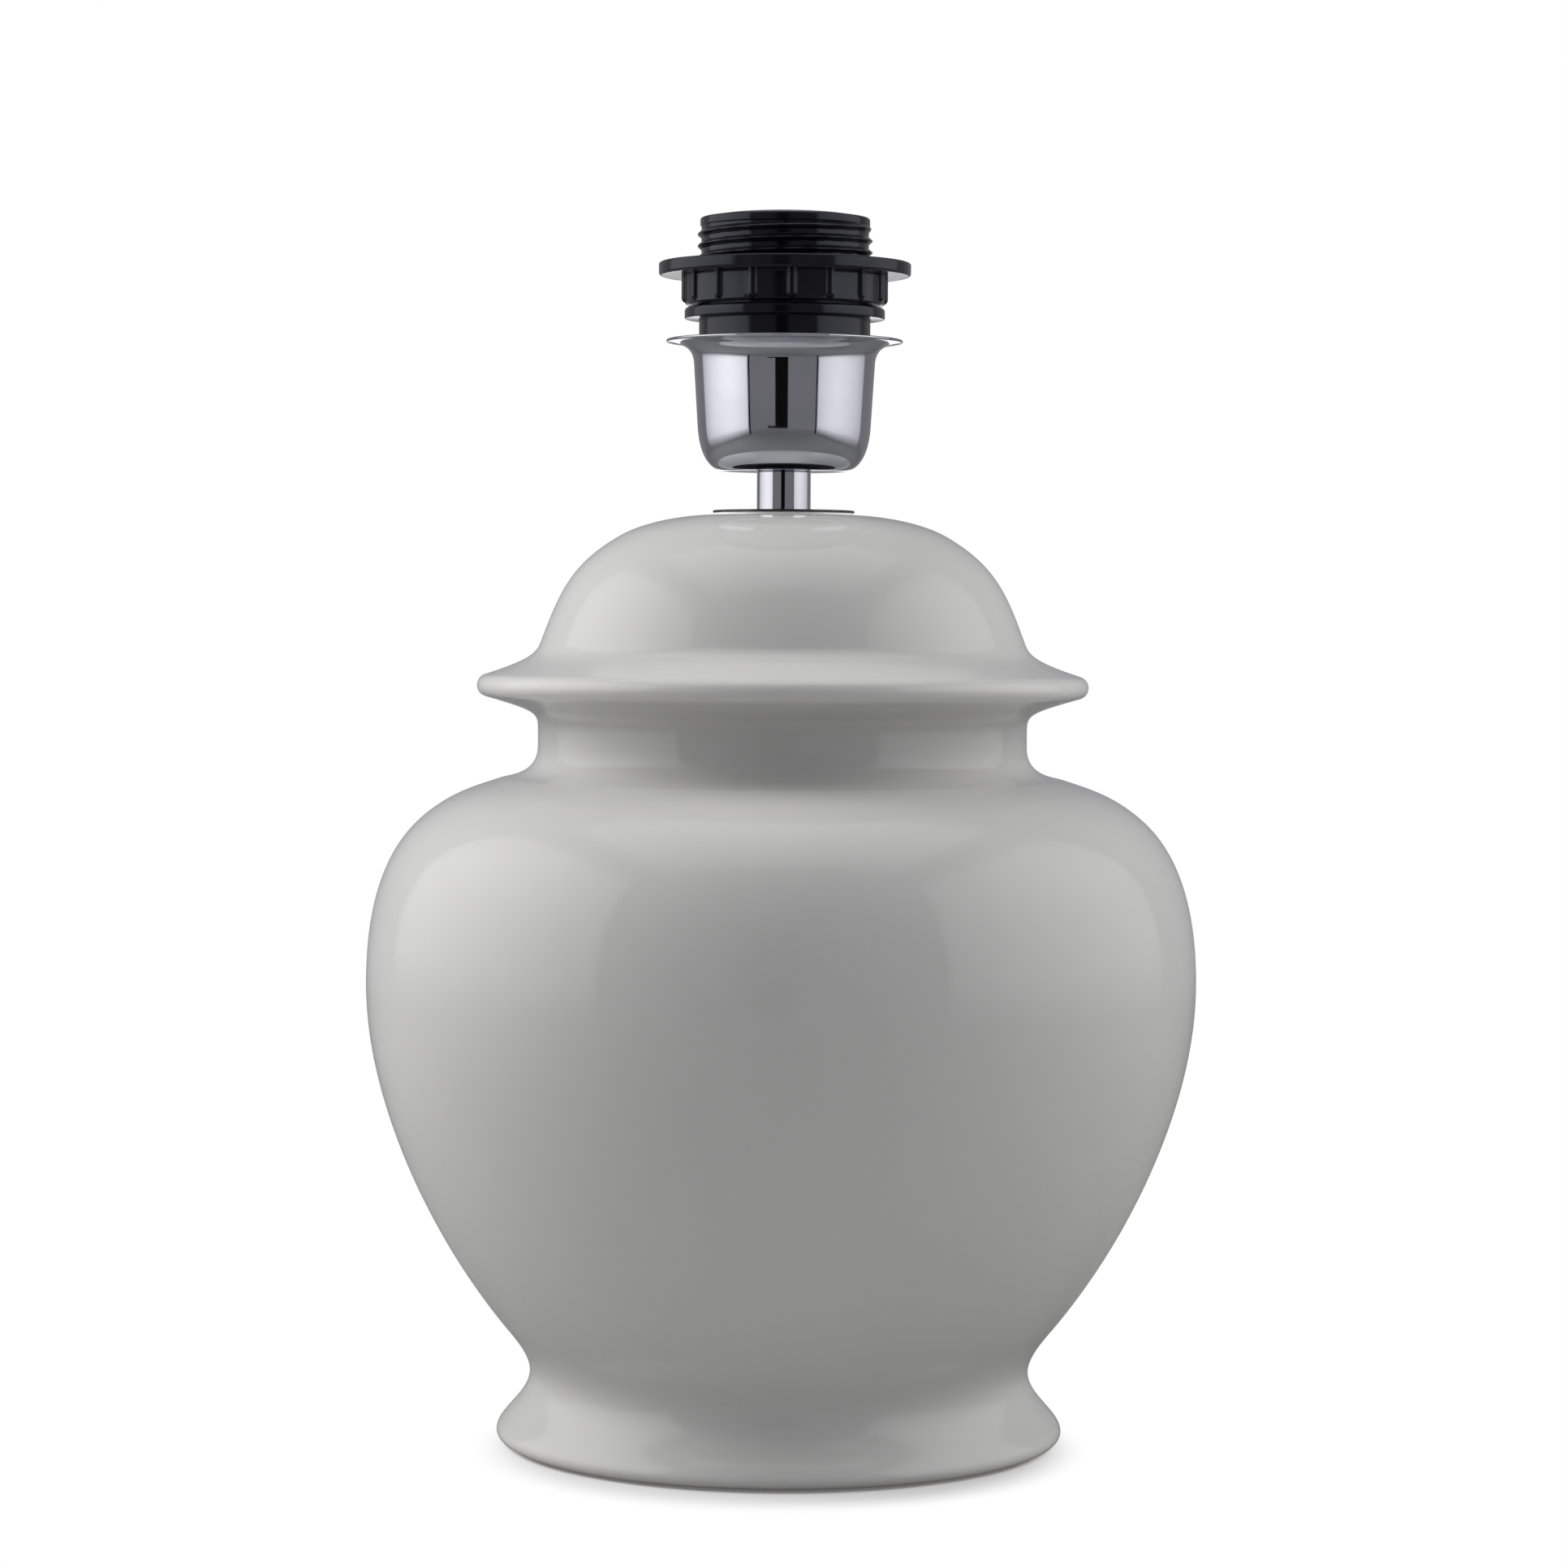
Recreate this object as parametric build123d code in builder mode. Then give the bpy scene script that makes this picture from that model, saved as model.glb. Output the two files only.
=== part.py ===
from build123d import *
import os
from math import atan2, cos, degrees, radians, sin

# Table lamp base: a glazed stoneware jar with a lid-shaped top, a metal neck tube and cup, and an
# E27 lampholder with a shade ring. Millimetres, +Z up, origin on the table under the jar's centre,
# front towards -Y, cord exit towards +Y.

os.makedirs("parts", exist_ok=True)

# ---- driving dimensions ----
felt_thickness = 0.5
felt_radius = 60.5
foot_radius = 64.9
foot_inner_radius = 55.0
waist_radius = 57.3
waist_height = 16.0
belly_radius = 94.9
belly_height = 105.1
neck_radius = 55.95
neck_inner_radius = 50.5
lid_tip_radius = 69.9
lid_tip_height = 173.0
lid_edge_rounding = 2.6
jar_height = 212.0
seat_radius = 17.0
dome_underside = 206.0
dome_underside_radius = 18.0
stem_hole_radius = 5.5

cord_height = waist_height
grommet_hole_radius = 4.7
grommet_bore_radius = 3.3
grommet_body_radius = 4.6
grommet_flange_radius = 6.4
grommet_lip_radius = 5.4
spot_face_radius = 7.0
spot_face_y = 56.6
grommet_flange_thickness = 1.6
grommet_lip_y = 51.8
grommet_lip_thickness = 1.4

nipple_radius = 4.95
nipple_bore_radius = 3.5
nipple_bottom = 196.0
nipple_top = 231.6
thread_clear_radius = 5.15

seat_gasket_radius = 15.9
seat_gasket_thickness = 0.5
seat_washer_radius = 16.2
seat_washer_thickness = 0.6
tube_radius = 6.15
cup_bottom = 222.0
cup_sheet = 0.65
cup_floor_radius = 13.2
cup_wall_bottom = (19.75, 232.0)
cup_wall_top = (20.65, 246.5)
cup_lip_radius = 27.0
cup_lip_height = 251.3

inner_gasket_radius = 14.0
inner_gasket_thickness = 0.8
inner_washer_radius = 16.0
inner_washer_thickness = 1.0
star_washer_radius = 8.8
star_washer_ring = 6.4
star_washer_thickness = 0.6
star_tooth_width = 1.4
nut_across_flats = 14.0
nut_thickness = 3.5

cap_floor_thickness = 2.5
cap_floor_radius = 13.5
cap_radius = 18.3
cap_cylinder_bottom = 230.0
cap_inner_radius = 14.0
cap_ledge_height = 240.0
cap_pocket_radius = 15.6
skirt_bottom = 243.5
cap_spigot_radius = 17.2
cap_spigot_top = 250.0
cap_boss_radius = 8.4
cap_boss_top = 231.2
grub_height = 228.0
grub_radius = 1.5
grub_length = 4.2

block_radius = 15.3
block_flange_radius = 17.0
block_flange_bottom = 250.1
block_flange_top = 252.2
block_boss_radius = 14.5
block_top = 253.0
clamp_offset = 9.0
clamp_length = 6.6
clamp_width = 5.6
clamp_bottom = 240.4
clamp_top = 247.6
pocket_clearance = 0.3
screw_head_radius = 2.7
screw_head_bottom = 238.0
screw_shank_radius = 1.5
screw_tip = 245.0
wire_hole_radius = 1.3
wire_hole_height = 246.0

shell_inner_radius = 13.2
shell_lower_radius = 12.6
shell_lower_top = 257.2
shell_thread_bottom = 258.0
shell_sheet = 0.5
shell_floor_hole = 8.8
shell_top = 276.0
shell_rivet_offset = 10.7
shell_rivet_head_radius = 1.7
shell_rivet_head_height = 0.8
shell_rivet_radius = 1.2
shell_rivet_bottom = 247.0

contact_width = 5.0
contact_sheet = 0.4
contact_level = 253.45
contact_pivot_x = -6.9
contact_rivet_radius = 0.8
contact_rivet_head_radius = 1.5
contact_rivet_head_bottom = 253.9
contact_rivet_head_top = 254.6
contact_rivet_bottom = 249.0

skirt_radius = 19.55
skirt_bore_radius = 17.3
skirt_shoulder = 252.4
barrel_bore_radius = 16.2
collar_radius = 22.85
collar_bottom = 256.6
collar_top = 259.2
collar_chamfer = 0.8
barrel_root_radius = 19.1
barrel_crest_radius = 19.95
barrel_pitch = 2.65
thread_bottom = 261.2
thread_turns = 6
thread_base_width = 1.7
thread_crest_width = 0.3
rim_radius = 19.35
rim_bottom = 277.9
rim_edge_height = 279.5
rim_top = 280.3
rim_hole_radius = 14.3
lip_underside = 277.6

ring_flange_radius = 28.75
ring_flange_bottom = 266.4
ring_flange_top = 269.4
ring_skirt_radius = 22.7
ring_skirt_bottom = 259.8
ring_bore_radius = 20.03
rib_count = 16
rib_radius = 1.15
rib_centre_radius = 22.45
rib_end_gap = 0.3
rib_first_angle = -86.0


def flow(start, start_angle, start_pull, end, end_angle, end_pull):
    """A smooth curve that leaves and arrives at given angles; the pulls set its fullness."""
    return Bezier(
        start,
        (
            start[0] + start_pull * cos(radians(start_angle)),
            start[1] + start_pull * sin(radians(start_angle)),
        ),
        (
            end[0] - end_pull * cos(radians(end_angle)),
            end[1] - end_pull * sin(radians(end_angle)),
        ),
        end,
    )


def washer(outer_radius, hole_radius, bottom, thickness):
    """A flat ring standing on the height given."""
    with BuildPart() as ring:
        with BuildSketch(Plane.XY.offset(bottom)):
            Circle(outer_radius)
            Circle(hole_radius, mode=Mode.SUBTRACT)
        extrude(amount=thickness)
    return ring


def star_washer(bottom):
    """A lock washer with teeth that point in towards the threaded tube."""
    with BuildPart() as star:
        with BuildSketch(Plane.XY.offset(bottom)):
            Circle(star_washer_radius)
            Circle(star_washer_ring, mode=Mode.SUBTRACT)
            tooth_length = star_washer_ring - thread_clear_radius + 0.4
            with PolarLocations(thread_clear_radius + tooth_length / 2, 10):
                Rectangle(tooth_length, star_tooth_width)
        extrude(amount=star_washer_thickness)
    return star


# ---- felt disc glued under the foot, closing the hollow jar ----
with BuildPart() as base_felt:
    with BuildSketch(Plane.XY):
        Circle(felt_radius)
    extrude(amount=felt_thickness)

# ---- slip-cast jar: foot, belly, neck, rim and dome are one hollow casting ----
with BuildPart() as jar_body:
    with BuildSketch(Plane.XZ):
        with BuildLine():
            # foot: ground face, small rounded lip, flare up to the waist
            Line((foot_inner_radius, felt_thickness), (62.9, felt_thickness))
            ThreePointArc((62.9, felt_thickness), (64.3, 1.05), (foot_radius, 2.4))
            flow((foot_radius, 2.4), 90, 3.2, (waist_radius, waist_height), 90, 6.2)
            # body: tight waist, long side to the belly, rounded shoulder
            flow((waist_radius, waist_height), 90, 4.4, (64.3, 28.2), 51.5, 3.7)
            flow((64.3, 28.2), 51.5, 28.5, (belly_radius, belly_height), 90, 24.8)
            flow((belly_radius, belly_height), 90, 26.6, (80.7, 144.2), 142, 6.2)
            flow((80.7, 144.2), 142, 6.8, (64.9, 151.65), 162, 6.2)
            flow((64.9, 151.65), 162, 2.4, (neck_radius, 159.2), 90, 6.5)
            # neck, then the lid's edge with its slopes of 16 and 18 degrees
            Line((neck_radius, 159.2), (neck_radius, 163.0))
            under_tip = (
                lid_tip_radius - lid_edge_rounding * (1 - sin(radians(16))),
                lid_tip_height - lid_edge_rounding * cos(radians(16)),
            )
            over_tip = (
                lid_tip_radius - lid_edge_rounding * (1 - sin(radians(18))),
                lid_tip_height + lid_edge_rounding * cos(radians(18)),
            )
            flow((neck_radius, 163.0), 90, 3.7, under_tip, 16, 12.0)
            ThreePointArc(under_tip, (lid_tip_radius, lid_tip_height), over_tip)
            flow(over_tip, 162, 10.0, (56.0, 181.3), 110, 2.0)
            # dome, ending in a small flat seat round the stem hole
            flow((56.0, 181.3), 110, 12.8, (37.4, 207.2), 150, 13.2)
            flow((37.4, 207.2), 150, 7.8, (seat_radius, jar_height), 180, 3.0)
            Line((seat_radius, jar_height), (stem_hole_radius, jar_height))
            Line((stem_hole_radius, jar_height), (stem_hole_radius, dome_underside))
            # inside face of the casting, about five millimetres in from the glaze
            Line(
                (stem_hole_radius, dome_underside),
                (dome_underside_radius, dome_underside),
            )
            flow(
                (dome_underside_radius, dome_underside),
                0,
                16.0,
                (neck_inner_radius, 178.0),
                -90,
                14.0,
            )
            Line((neck_inner_radius, 178.0), (neck_inner_radius, 160.0))
            flow((neck_inner_radius, 160.0), -90, 8.0, (62.5, 147.0), -17, 4.0)
            flow((62.5, 147.0), -17, 5.0, (77.2, 139.9), -38, 6.0)
            flow((77.2, 139.9), -38, 6.0, (89.9, belly_height), -90, 24.0)
            flow((89.9, belly_height), -90, 22.5, (60.2, 31.3), -128.5, 27.0)
            flow((60.2, 31.3), -128.5, 3.7, (52.3, waist_height), -90, 5.5)
            flow(
                (52.3, waist_height),
                -90,
                5.0,
                (foot_inner_radius, felt_thickness),
                -75,
                4.0,
            )
        make_face()
    revolve(axis=Axis.Z)
    # cord hole through the back of the waist, with a flat for the grommet's flange
    with BuildSketch(Plane.XZ.offset(-foot_radius)):
        with Locations((0, cord_height)):
            Circle(spot_face_radius)
    extrude(amount=foot_radius - spot_face_y, mode=Mode.SUBTRACT)
    with BuildSketch(Plane.XZ.offset(-foot_radius)):
        with Locations((0, cord_height)):
            Circle(grommet_hole_radius)
    extrude(amount=foot_radius - neck_inner_radius + 4, mode=Mode.SUBTRACT)

# ---- rubber grommet in the cord hole ----
with BuildPart() as cord_grommet:
    with BuildSketch(Plane.XZ.offset(-spot_face_y - grommet_flange_thickness)):
        with Locations((0, cord_height)):
            Circle(grommet_flange_radius)
    extrude(amount=grommet_flange_thickness)
    fillet(cord_grommet.edges().sort_by(Axis.Y)[-1], 0.9)
    with BuildSketch(Plane.XZ.offset(-spot_face_y)):
        with Locations((0, cord_height)):
            Circle(grommet_body_radius)
    extrude(amount=spot_face_y - grommet_lip_y)
    with BuildSketch(Plane.XZ.offset(-grommet_lip_y)):
        with Locations((0, cord_height)):
            Circle(grommet_lip_radius)
    extrude(amount=grommet_lip_thickness)
    with BuildSketch(Plane.XZ.offset(-spot_face_y - grommet_flange_thickness)):
        with Locations((0, cord_height)):
            Circle(grommet_bore_radius)
    extrude(amount=2 * grommet_flange_radius, mode=Mode.SUBTRACT)

# ---- stack on top of the dome, clamped by the threaded tube ----
seat_gasket = washer(
    seat_gasket_radius, thread_clear_radius, jar_height, seat_gasket_thickness
)
seat_washer_bottom = jar_height + seat_gasket_thickness
seat_washer = washer(
    seat_washer_radius, thread_clear_radius, seat_washer_bottom, seat_washer_thickness
)
tube_bottom = seat_washer_bottom + seat_washer_thickness
neck_tube = washer(
    tube_radius, thread_clear_radius, tube_bottom, cup_bottom - tube_bottom
)
threaded_nipple = washer(
    nipple_radius, nipple_bore_radius, nipple_bottom, nipple_top - nipple_bottom
)

# ---- stack under the dome ----
inner_gasket_bottom = dome_underside - inner_gasket_thickness
inner_gasket = washer(
    inner_gasket_radius,
    thread_clear_radius,
    inner_gasket_bottom,
    inner_gasket_thickness,
)
inner_washer_bottom = inner_gasket_bottom - inner_washer_thickness
inner_washer = washer(
    inner_washer_radius,
    thread_clear_radius,
    inner_washer_bottom,
    inner_washer_thickness,
)
lock_washer_bottom = inner_washer_bottom - star_washer_thickness
lock_washer = star_washer(lock_washer_bottom)
with BuildPart() as clamp_nut:
    with BuildSketch(Plane.XY.offset(lock_washer_bottom - nut_thickness)):
        RegularPolygon(nut_across_flats / 2, 6, major_radius=False)
        Circle(nipple_radius + 0.05, mode=Mode.SUBTRACT)
    extrude(amount=nut_thickness)

# ---- drawn metal cup: flat floor, rounded corner, slightly opening wall, turned-out lip ----
wall_angle = degrees(
    atan2(cup_wall_top[1] - cup_wall_bottom[1], cup_wall_top[0] - cup_wall_bottom[0])
)
cup_lip_under = (cup_lip_radius, cup_lip_height)
cup_lip_over = (cup_lip_radius - 0.05, cup_lip_height + cup_sheet)
cup_inner_top = (cup_wall_top[0] - cup_sheet, cup_wall_top[1])
cup_inner_bottom = (cup_wall_bottom[0] - cup_sheet, cup_wall_bottom[1])
cup_inner_floor = (cup_floor_radius, cup_bottom + cup_sheet)
with BuildPart() as metal_cup:
    with BuildSketch(Plane.XZ):
        with BuildLine():
            Line((thread_clear_radius, cup_bottom), (cup_floor_radius, cup_bottom))
            flow((cup_floor_radius, cup_bottom), 0, 4.9, cup_wall_bottom, wall_angle, 4.2)
            Line(cup_wall_bottom, cup_wall_top)
            flow(cup_wall_top, wall_angle, 3.7, cup_lip_under, 4, 3.6)
            Line(cup_lip_under, cup_lip_over)
            flow(cup_lip_over, 184, 4.0, cup_inner_top, wall_angle - 180, 4.2)
            Line(cup_inner_top, cup_inner_bottom)
            flow(cup_inner_bottom, wall_angle - 180, 3.8, cup_inner_floor, 180, 4.4)
            Line(cup_inner_floor, (thread_clear_radius, cup_bottom + cup_sheet))
            Line(
                (thread_clear_radius, cup_bottom + cup_sheet),
                (thread_clear_radius, cup_bottom),
            )
        make_face()
    revolve(axis=Axis.Z)

cup_lock_washer = star_washer(cup_bottom + cup_sheet)

# ---- lampholder cap, screwed on the tube's upper end and hidden in the cup ----
cap_bottom = cup_bottom + cup_sheet + star_washer_thickness
with BuildPart() as holder_cap:
    with BuildSketch(Plane.XZ):
        with BuildLine():
            Polyline(
                (nipple_radius + 0.05, cap_bottom),
                (cap_floor_radius, cap_bottom),
                (cap_radius, cap_cylinder_bottom),
                (cap_radius, skirt_bottom - 0.2),
                (cap_spigot_radius, skirt_bottom - 0.2),
                (cap_spigot_radius, cap_spigot_top),
                (cap_pocket_radius, cap_spigot_top),
                (cap_pocket_radius, cap_ledge_height),
                (cap_inner_radius, cap_ledge_height),
                (cap_inner_radius, cap_cylinder_bottom + 1),
                (cap_floor_radius - 2.5, cap_bottom + cap_floor_thickness),
                (cap_boss_radius, cap_bottom + cap_floor_thickness),
                (cap_boss_radius, cap_boss_top),
                (nipple_radius + 0.05, cap_boss_top),
                close=True,
            )
        make_face()
    revolve(axis=Axis.Z)
    with BuildSketch(Plane.YZ.offset(nipple_radius)):
        with Locations((0, grub_height)):
            Circle(grub_radius + 0.03)
    extrude(amount=cap_boss_radius - nipple_radius, mode=Mode.SUBTRACT)

with BuildPart() as cap_grub_screw:
    with BuildSketch(Plane.YZ.offset(nipple_radius + 0.1)):
        with Locations((0, grub_height)):
            Circle(grub_radius)
    extrude(amount=grub_length)
    with BuildSketch(Plane.YZ.offset(nipple_radius + 0.1 + grub_length)):
        with Locations((0, grub_height)):
            Rectangle(0.5, 2 * grub_radius)
    extrude(amount=-0.9, mode=Mode.SUBTRACT)

# ---- ceramic insert that carries the contacts ----
with BuildPart() as terminal_block:
    with BuildSketch(Plane.XY.offset(cap_ledge_height)):
        Circle(block_radius)
    extrude(amount=block_flange_bottom - cap_ledge_height)
    with BuildSketch(Plane.XY.offset(block_flange_bottom)):
        Circle(block_flange_radius)
    extrude(amount=block_flange_top - block_flange_bottom)
    with BuildSketch(Plane.XY.offset(block_flange_top)):
        Circle(block_boss_radius)
    extrude(amount=block_top - block_flange_top)
    with BuildSketch(Plane.XY.offset(cap_ledge_height)):
        with Locations((clamp_offset, 0), (-clamp_offset, 0)):
            Rectangle(
                clamp_length + pocket_clearance,
                clamp_width + pocket_clearance,
            )
    extrude(
        amount=clamp_top + pocket_clearance - cap_ledge_height, mode=Mode.SUBTRACT
    )
    with BuildSketch(Plane.XY.offset(block_top)):
        with Locations((0.4, 0)):
            Rectangle(12.4, contact_width + 1.2)
    extrude(amount=-3.0, mode=Mode.SUBTRACT)
    with BuildSketch(Plane.XY.offset(block_top)):
        with Locations((0, shell_rivet_offset), (0, -shell_rivet_offset)):
            Circle(shell_rivet_radius + 0.05)
    extrude(amount=shell_rivet_bottom - block_top, mode=Mode.SUBTRACT)
    with BuildSketch(Plane.XY.offset(block_top)):
        with Locations((contact_pivot_x, 0)):
            Circle(contact_rivet_radius + 0.05)
    extrude(amount=contact_rivet_bottom - block_top, mode=Mode.SUBTRACT)

with BuildPart() as terminal_clamps:
    with BuildSketch(Plane.XY.offset(clamp_bottom)):
        with Locations((clamp_offset, 0), (-clamp_offset, 0)):
            Rectangle(clamp_length, clamp_width)
            Circle(screw_shank_radius + 0.05, mode=Mode.SUBTRACT)
    extrude(amount=clamp_top - clamp_bottom)
    with BuildSketch(Plane.XZ.offset(-clamp_width)):
        with Locations((clamp_offset, wire_hole_height), (-clamp_offset, wire_hole_height)):
            Circle(wire_hole_radius)
    extrude(amount=2 * clamp_width, mode=Mode.SUBTRACT)

with BuildPart() as terminal_screws:
    with BuildSketch(Plane.XY.offset(screw_head_bottom)):
        with Locations((clamp_offset, 0), (-clamp_offset, 0)):
            Circle(screw_head_radius)
    extrude(amount=clamp_bottom - screw_head_bottom)
    with BuildSketch(Plane.XY.offset(clamp_bottom)):
        with Locations((clamp_offset, 0), (-clamp_offset, 0)):
            Circle(screw_shank_radius)
    extrude(amount=screw_tip - clamp_bottom)
    with BuildSketch(Plane.XY.offset(screw_head_bottom)):
        with Locations((clamp_offset, 0), (-clamp_offset, 0)):
            Rectangle(2 * screw_head_radius, 0.8)
    extrude(amount=0.9, mode=Mode.SUBTRACT)

# ---- threaded metal shell for the lamp's cap, drawn narrower at its floor and riveted to the insert ----
with BuildPart() as screw_shell:
    with BuildSketch(Plane.XZ):
        with BuildLine():
            Polyline(
                (shell_floor_hole, block_top),
                (shell_lower_radius + shell_sheet, block_top),
                (shell_lower_radius + shell_sheet, shell_lower_top),
                (shell_inner_radius + shell_sheet, shell_thread_bottom),
                (shell_inner_radius + shell_sheet, shell_top),
                (shell_inner_radius, shell_top),
                (shell_inner_radius, shell_thread_bottom),
                (shell_lower_radius, shell_lower_top),
                (shell_lower_radius, block_top + shell_sheet),
                (shell_floor_hole, block_top + shell_sheet),
                close=True,
            )
        make_face()
    revolve(axis=Axis.Z)
    with BuildSketch(Plane.XY.offset(block_top)):
        with Locations((0, shell_rivet_offset), (0, -shell_rivet_offset)):
            Circle(shell_rivet_radius + 0.05)
    extrude(amount=shell_sheet, mode=Mode.SUBTRACT)

with BuildPart() as shell_rivets:
    with BuildSketch(Plane.XY.offset(shell_rivet_bottom)):
        with Locations((0, shell_rivet_offset), (0, -shell_rivet_offset)):
            Circle(shell_rivet_radius)
    extrude(amount=block_top + shell_sheet - shell_rivet_bottom)
    with BuildSketch(Plane.XY.offset(block_top + shell_sheet)):
        with Locations((0, shell_rivet_offset), (0, -shell_rivet_offset)):
            Circle(shell_rivet_head_radius)
    extrude(amount=shell_rivet_head_height, taper=30)

# ---- sprung strip that meets the lamp's centre contact ----
with BuildPart() as centre_contact:
    with BuildSketch(Plane.XZ.offset(-contact_width / 2)):
        with BuildLine() as strip_line:
            FilletPolyline(
                (-8.0, contact_level),
                (-4.5, contact_level),
                (0.8, contact_level + 3.9),
                (4.2, contact_level + 2.9),
                radius=0.9,
            )
        trace(strip_line.line, contact_sheet)
    extrude(amount=contact_width)
    with BuildSketch(Plane.XY.offset(contact_level - 1)):
        with Locations((contact_pivot_x, 0)):
            Circle(contact_rivet_radius + 0.25)
    extrude(amount=2, mode=Mode.SUBTRACT)

with BuildPart() as contact_rivet:
    with BuildSketch(Plane.XY.offset(contact_rivet_bottom)):
        with Locations((contact_pivot_x, 0)):
            Circle(contact_rivet_radius)
    extrude(amount=contact_rivet_head_bottom - contact_rivet_bottom)
    with BuildSketch(Plane.XY.offset(contact_rivet_head_bottom)):
        with Locations((contact_pivot_x, 0)):
            Circle(contact_rivet_head_radius)
    extrude(amount=contact_rivet_head_top - contact_rivet_head_bottom, taper=25)

# ---- lampholder skirt: plain lower cylinder, collar, threaded barrel and plain rim ----
thread_path = Helix(
    barrel_pitch,
    barrel_pitch * thread_turns,
    barrel_root_radius,
    center=(0, 0, thread_bottom),
)
with BuildPart() as holder_skirt:
    with BuildSketch(Plane.XZ):
        with BuildLine():
            Polyline(
                (skirt_bore_radius, skirt_bottom),
                (skirt_radius, skirt_bottom),
                (skirt_radius, collar_bottom),
                (collar_radius, collar_bottom),
                (collar_radius, collar_top - collar_chamfer),
                (collar_radius - collar_chamfer, collar_top),
                (barrel_root_radius, collar_top),
                (barrel_root_radius, rim_bottom),
                (rim_radius, rim_bottom),
                (rim_radius, rim_edge_height),
                (rim_hole_radius, rim_top),
                (rim_hole_radius, lip_underside),
                (barrel_bore_radius, lip_underside),
                (barrel_bore_radius, skirt_shoulder),
                (skirt_bore_radius, skirt_shoulder),
                close=True,
            )
        make_face()
    revolve(axis=Axis.Z)
    rim_edges = holder_skirt.edges().filter_by_position(Axis.Z, rim_edge_height, rim_top)
    fillet(rim_edges.filter_by(GeomType.CIRCLE), 0.5)
    # V-shaped ridge wound round the barrel
    with BuildSketch(Plane.XZ):
        with BuildLine():
            Polyline(
                (barrel_root_radius - 0.3, thread_bottom - thread_base_width / 2),
                (barrel_root_radius, thread_bottom - thread_base_width / 2),
                (barrel_crest_radius, thread_bottom - thread_crest_width / 2),
                (barrel_crest_radius, thread_bottom + thread_crest_width / 2),
                (barrel_root_radius, thread_bottom + thread_base_width / 2),
                (barrel_root_radius - 0.3, thread_bottom + thread_base_width / 2),
                close=True,
            )
        make_face()
    sweep(path=thread_path, is_frenet=True)

# ---- shade ring: thin flange over a ribbed skirt, running on the barrel ----
with BuildPart() as shade_ring:
    with BuildSketch(Plane.XY.offset(ring_flange_bottom)):
        Circle(ring_flange_radius)
    extrude(amount=ring_flange_top - ring_flange_bottom)
    fillet(shade_ring.edges(), 0.6)
    with BuildSketch(Plane.XY.offset(ring_skirt_bottom)):
        Circle(ring_skirt_radius)
    extrude(amount=ring_flange_bottom - ring_skirt_bottom)
    fillet(shade_ring.edges().sort_by(Axis.Z)[0], 0.4)
    under_flange = shade_ring.edges().filter_by_position(
        Axis.Z, ring_flange_bottom - 0.01, ring_flange_bottom + 0.01
    )
    fillet(under_flange.sort_by(SortBy.RADIUS)[0], 0.5)
    # half-round ribs with ball ends, as finger grips
    rib_end = ring_skirt_bottom + rib_end_gap + rib_radius
    with PolarLocations(rib_centre_radius, rib_count, start_angle=rib_first_angle):
        with Locations((0, 0, rib_end)):
            Sphere(rib_radius)
            Cylinder(
                rib_radius,
                ring_flange_bottom + 0.5 - rib_end,
                align=(Align.CENTER, Align.CENTER, Align.MIN),
            )
    with BuildSketch(Plane.XY.offset(ring_skirt_bottom)):
        Circle(ring_bore_radius)
    extrude(amount=ring_flange_top - ring_skirt_bottom, mode=Mode.SUBTRACT)

pieces = {
    "base_felt": base_felt,
    "jar_body": jar_body,
    "cord_grommet": cord_grommet,
    "seat_gasket": seat_gasket,
    "seat_washer": seat_washer,
    "neck_tube": neck_tube,
    "threaded_nipple": threaded_nipple,
    "inner_gasket": inner_gasket,
    "inner_washer": inner_washer,
    "lock_washer": lock_washer,
    "clamp_nut": clamp_nut,
    "metal_cup": metal_cup,
    "cup_lock_washer": cup_lock_washer,
    "holder_cap": holder_cap,
    "cap_grub_screw": cap_grub_screw,
    "terminal_block": terminal_block,
    "terminal_clamps": terminal_clamps,
    "terminal_screws": terminal_screws,
    "screw_shell": screw_shell,
    "shell_rivets": shell_rivets,
    "centre_contact": centre_contact,
    "contact_rivet": contact_rivet,
    "holder_skirt": holder_skirt,
    "shade_ring": shade_ring,
}
for name, piece in pieces.items():
    piece.part.label = name
    export_step(piece.part, f"parts/{name}.step")
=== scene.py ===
import math

import bmesh
import bpy
from mathutils import Matrix, Vector, noise


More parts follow.
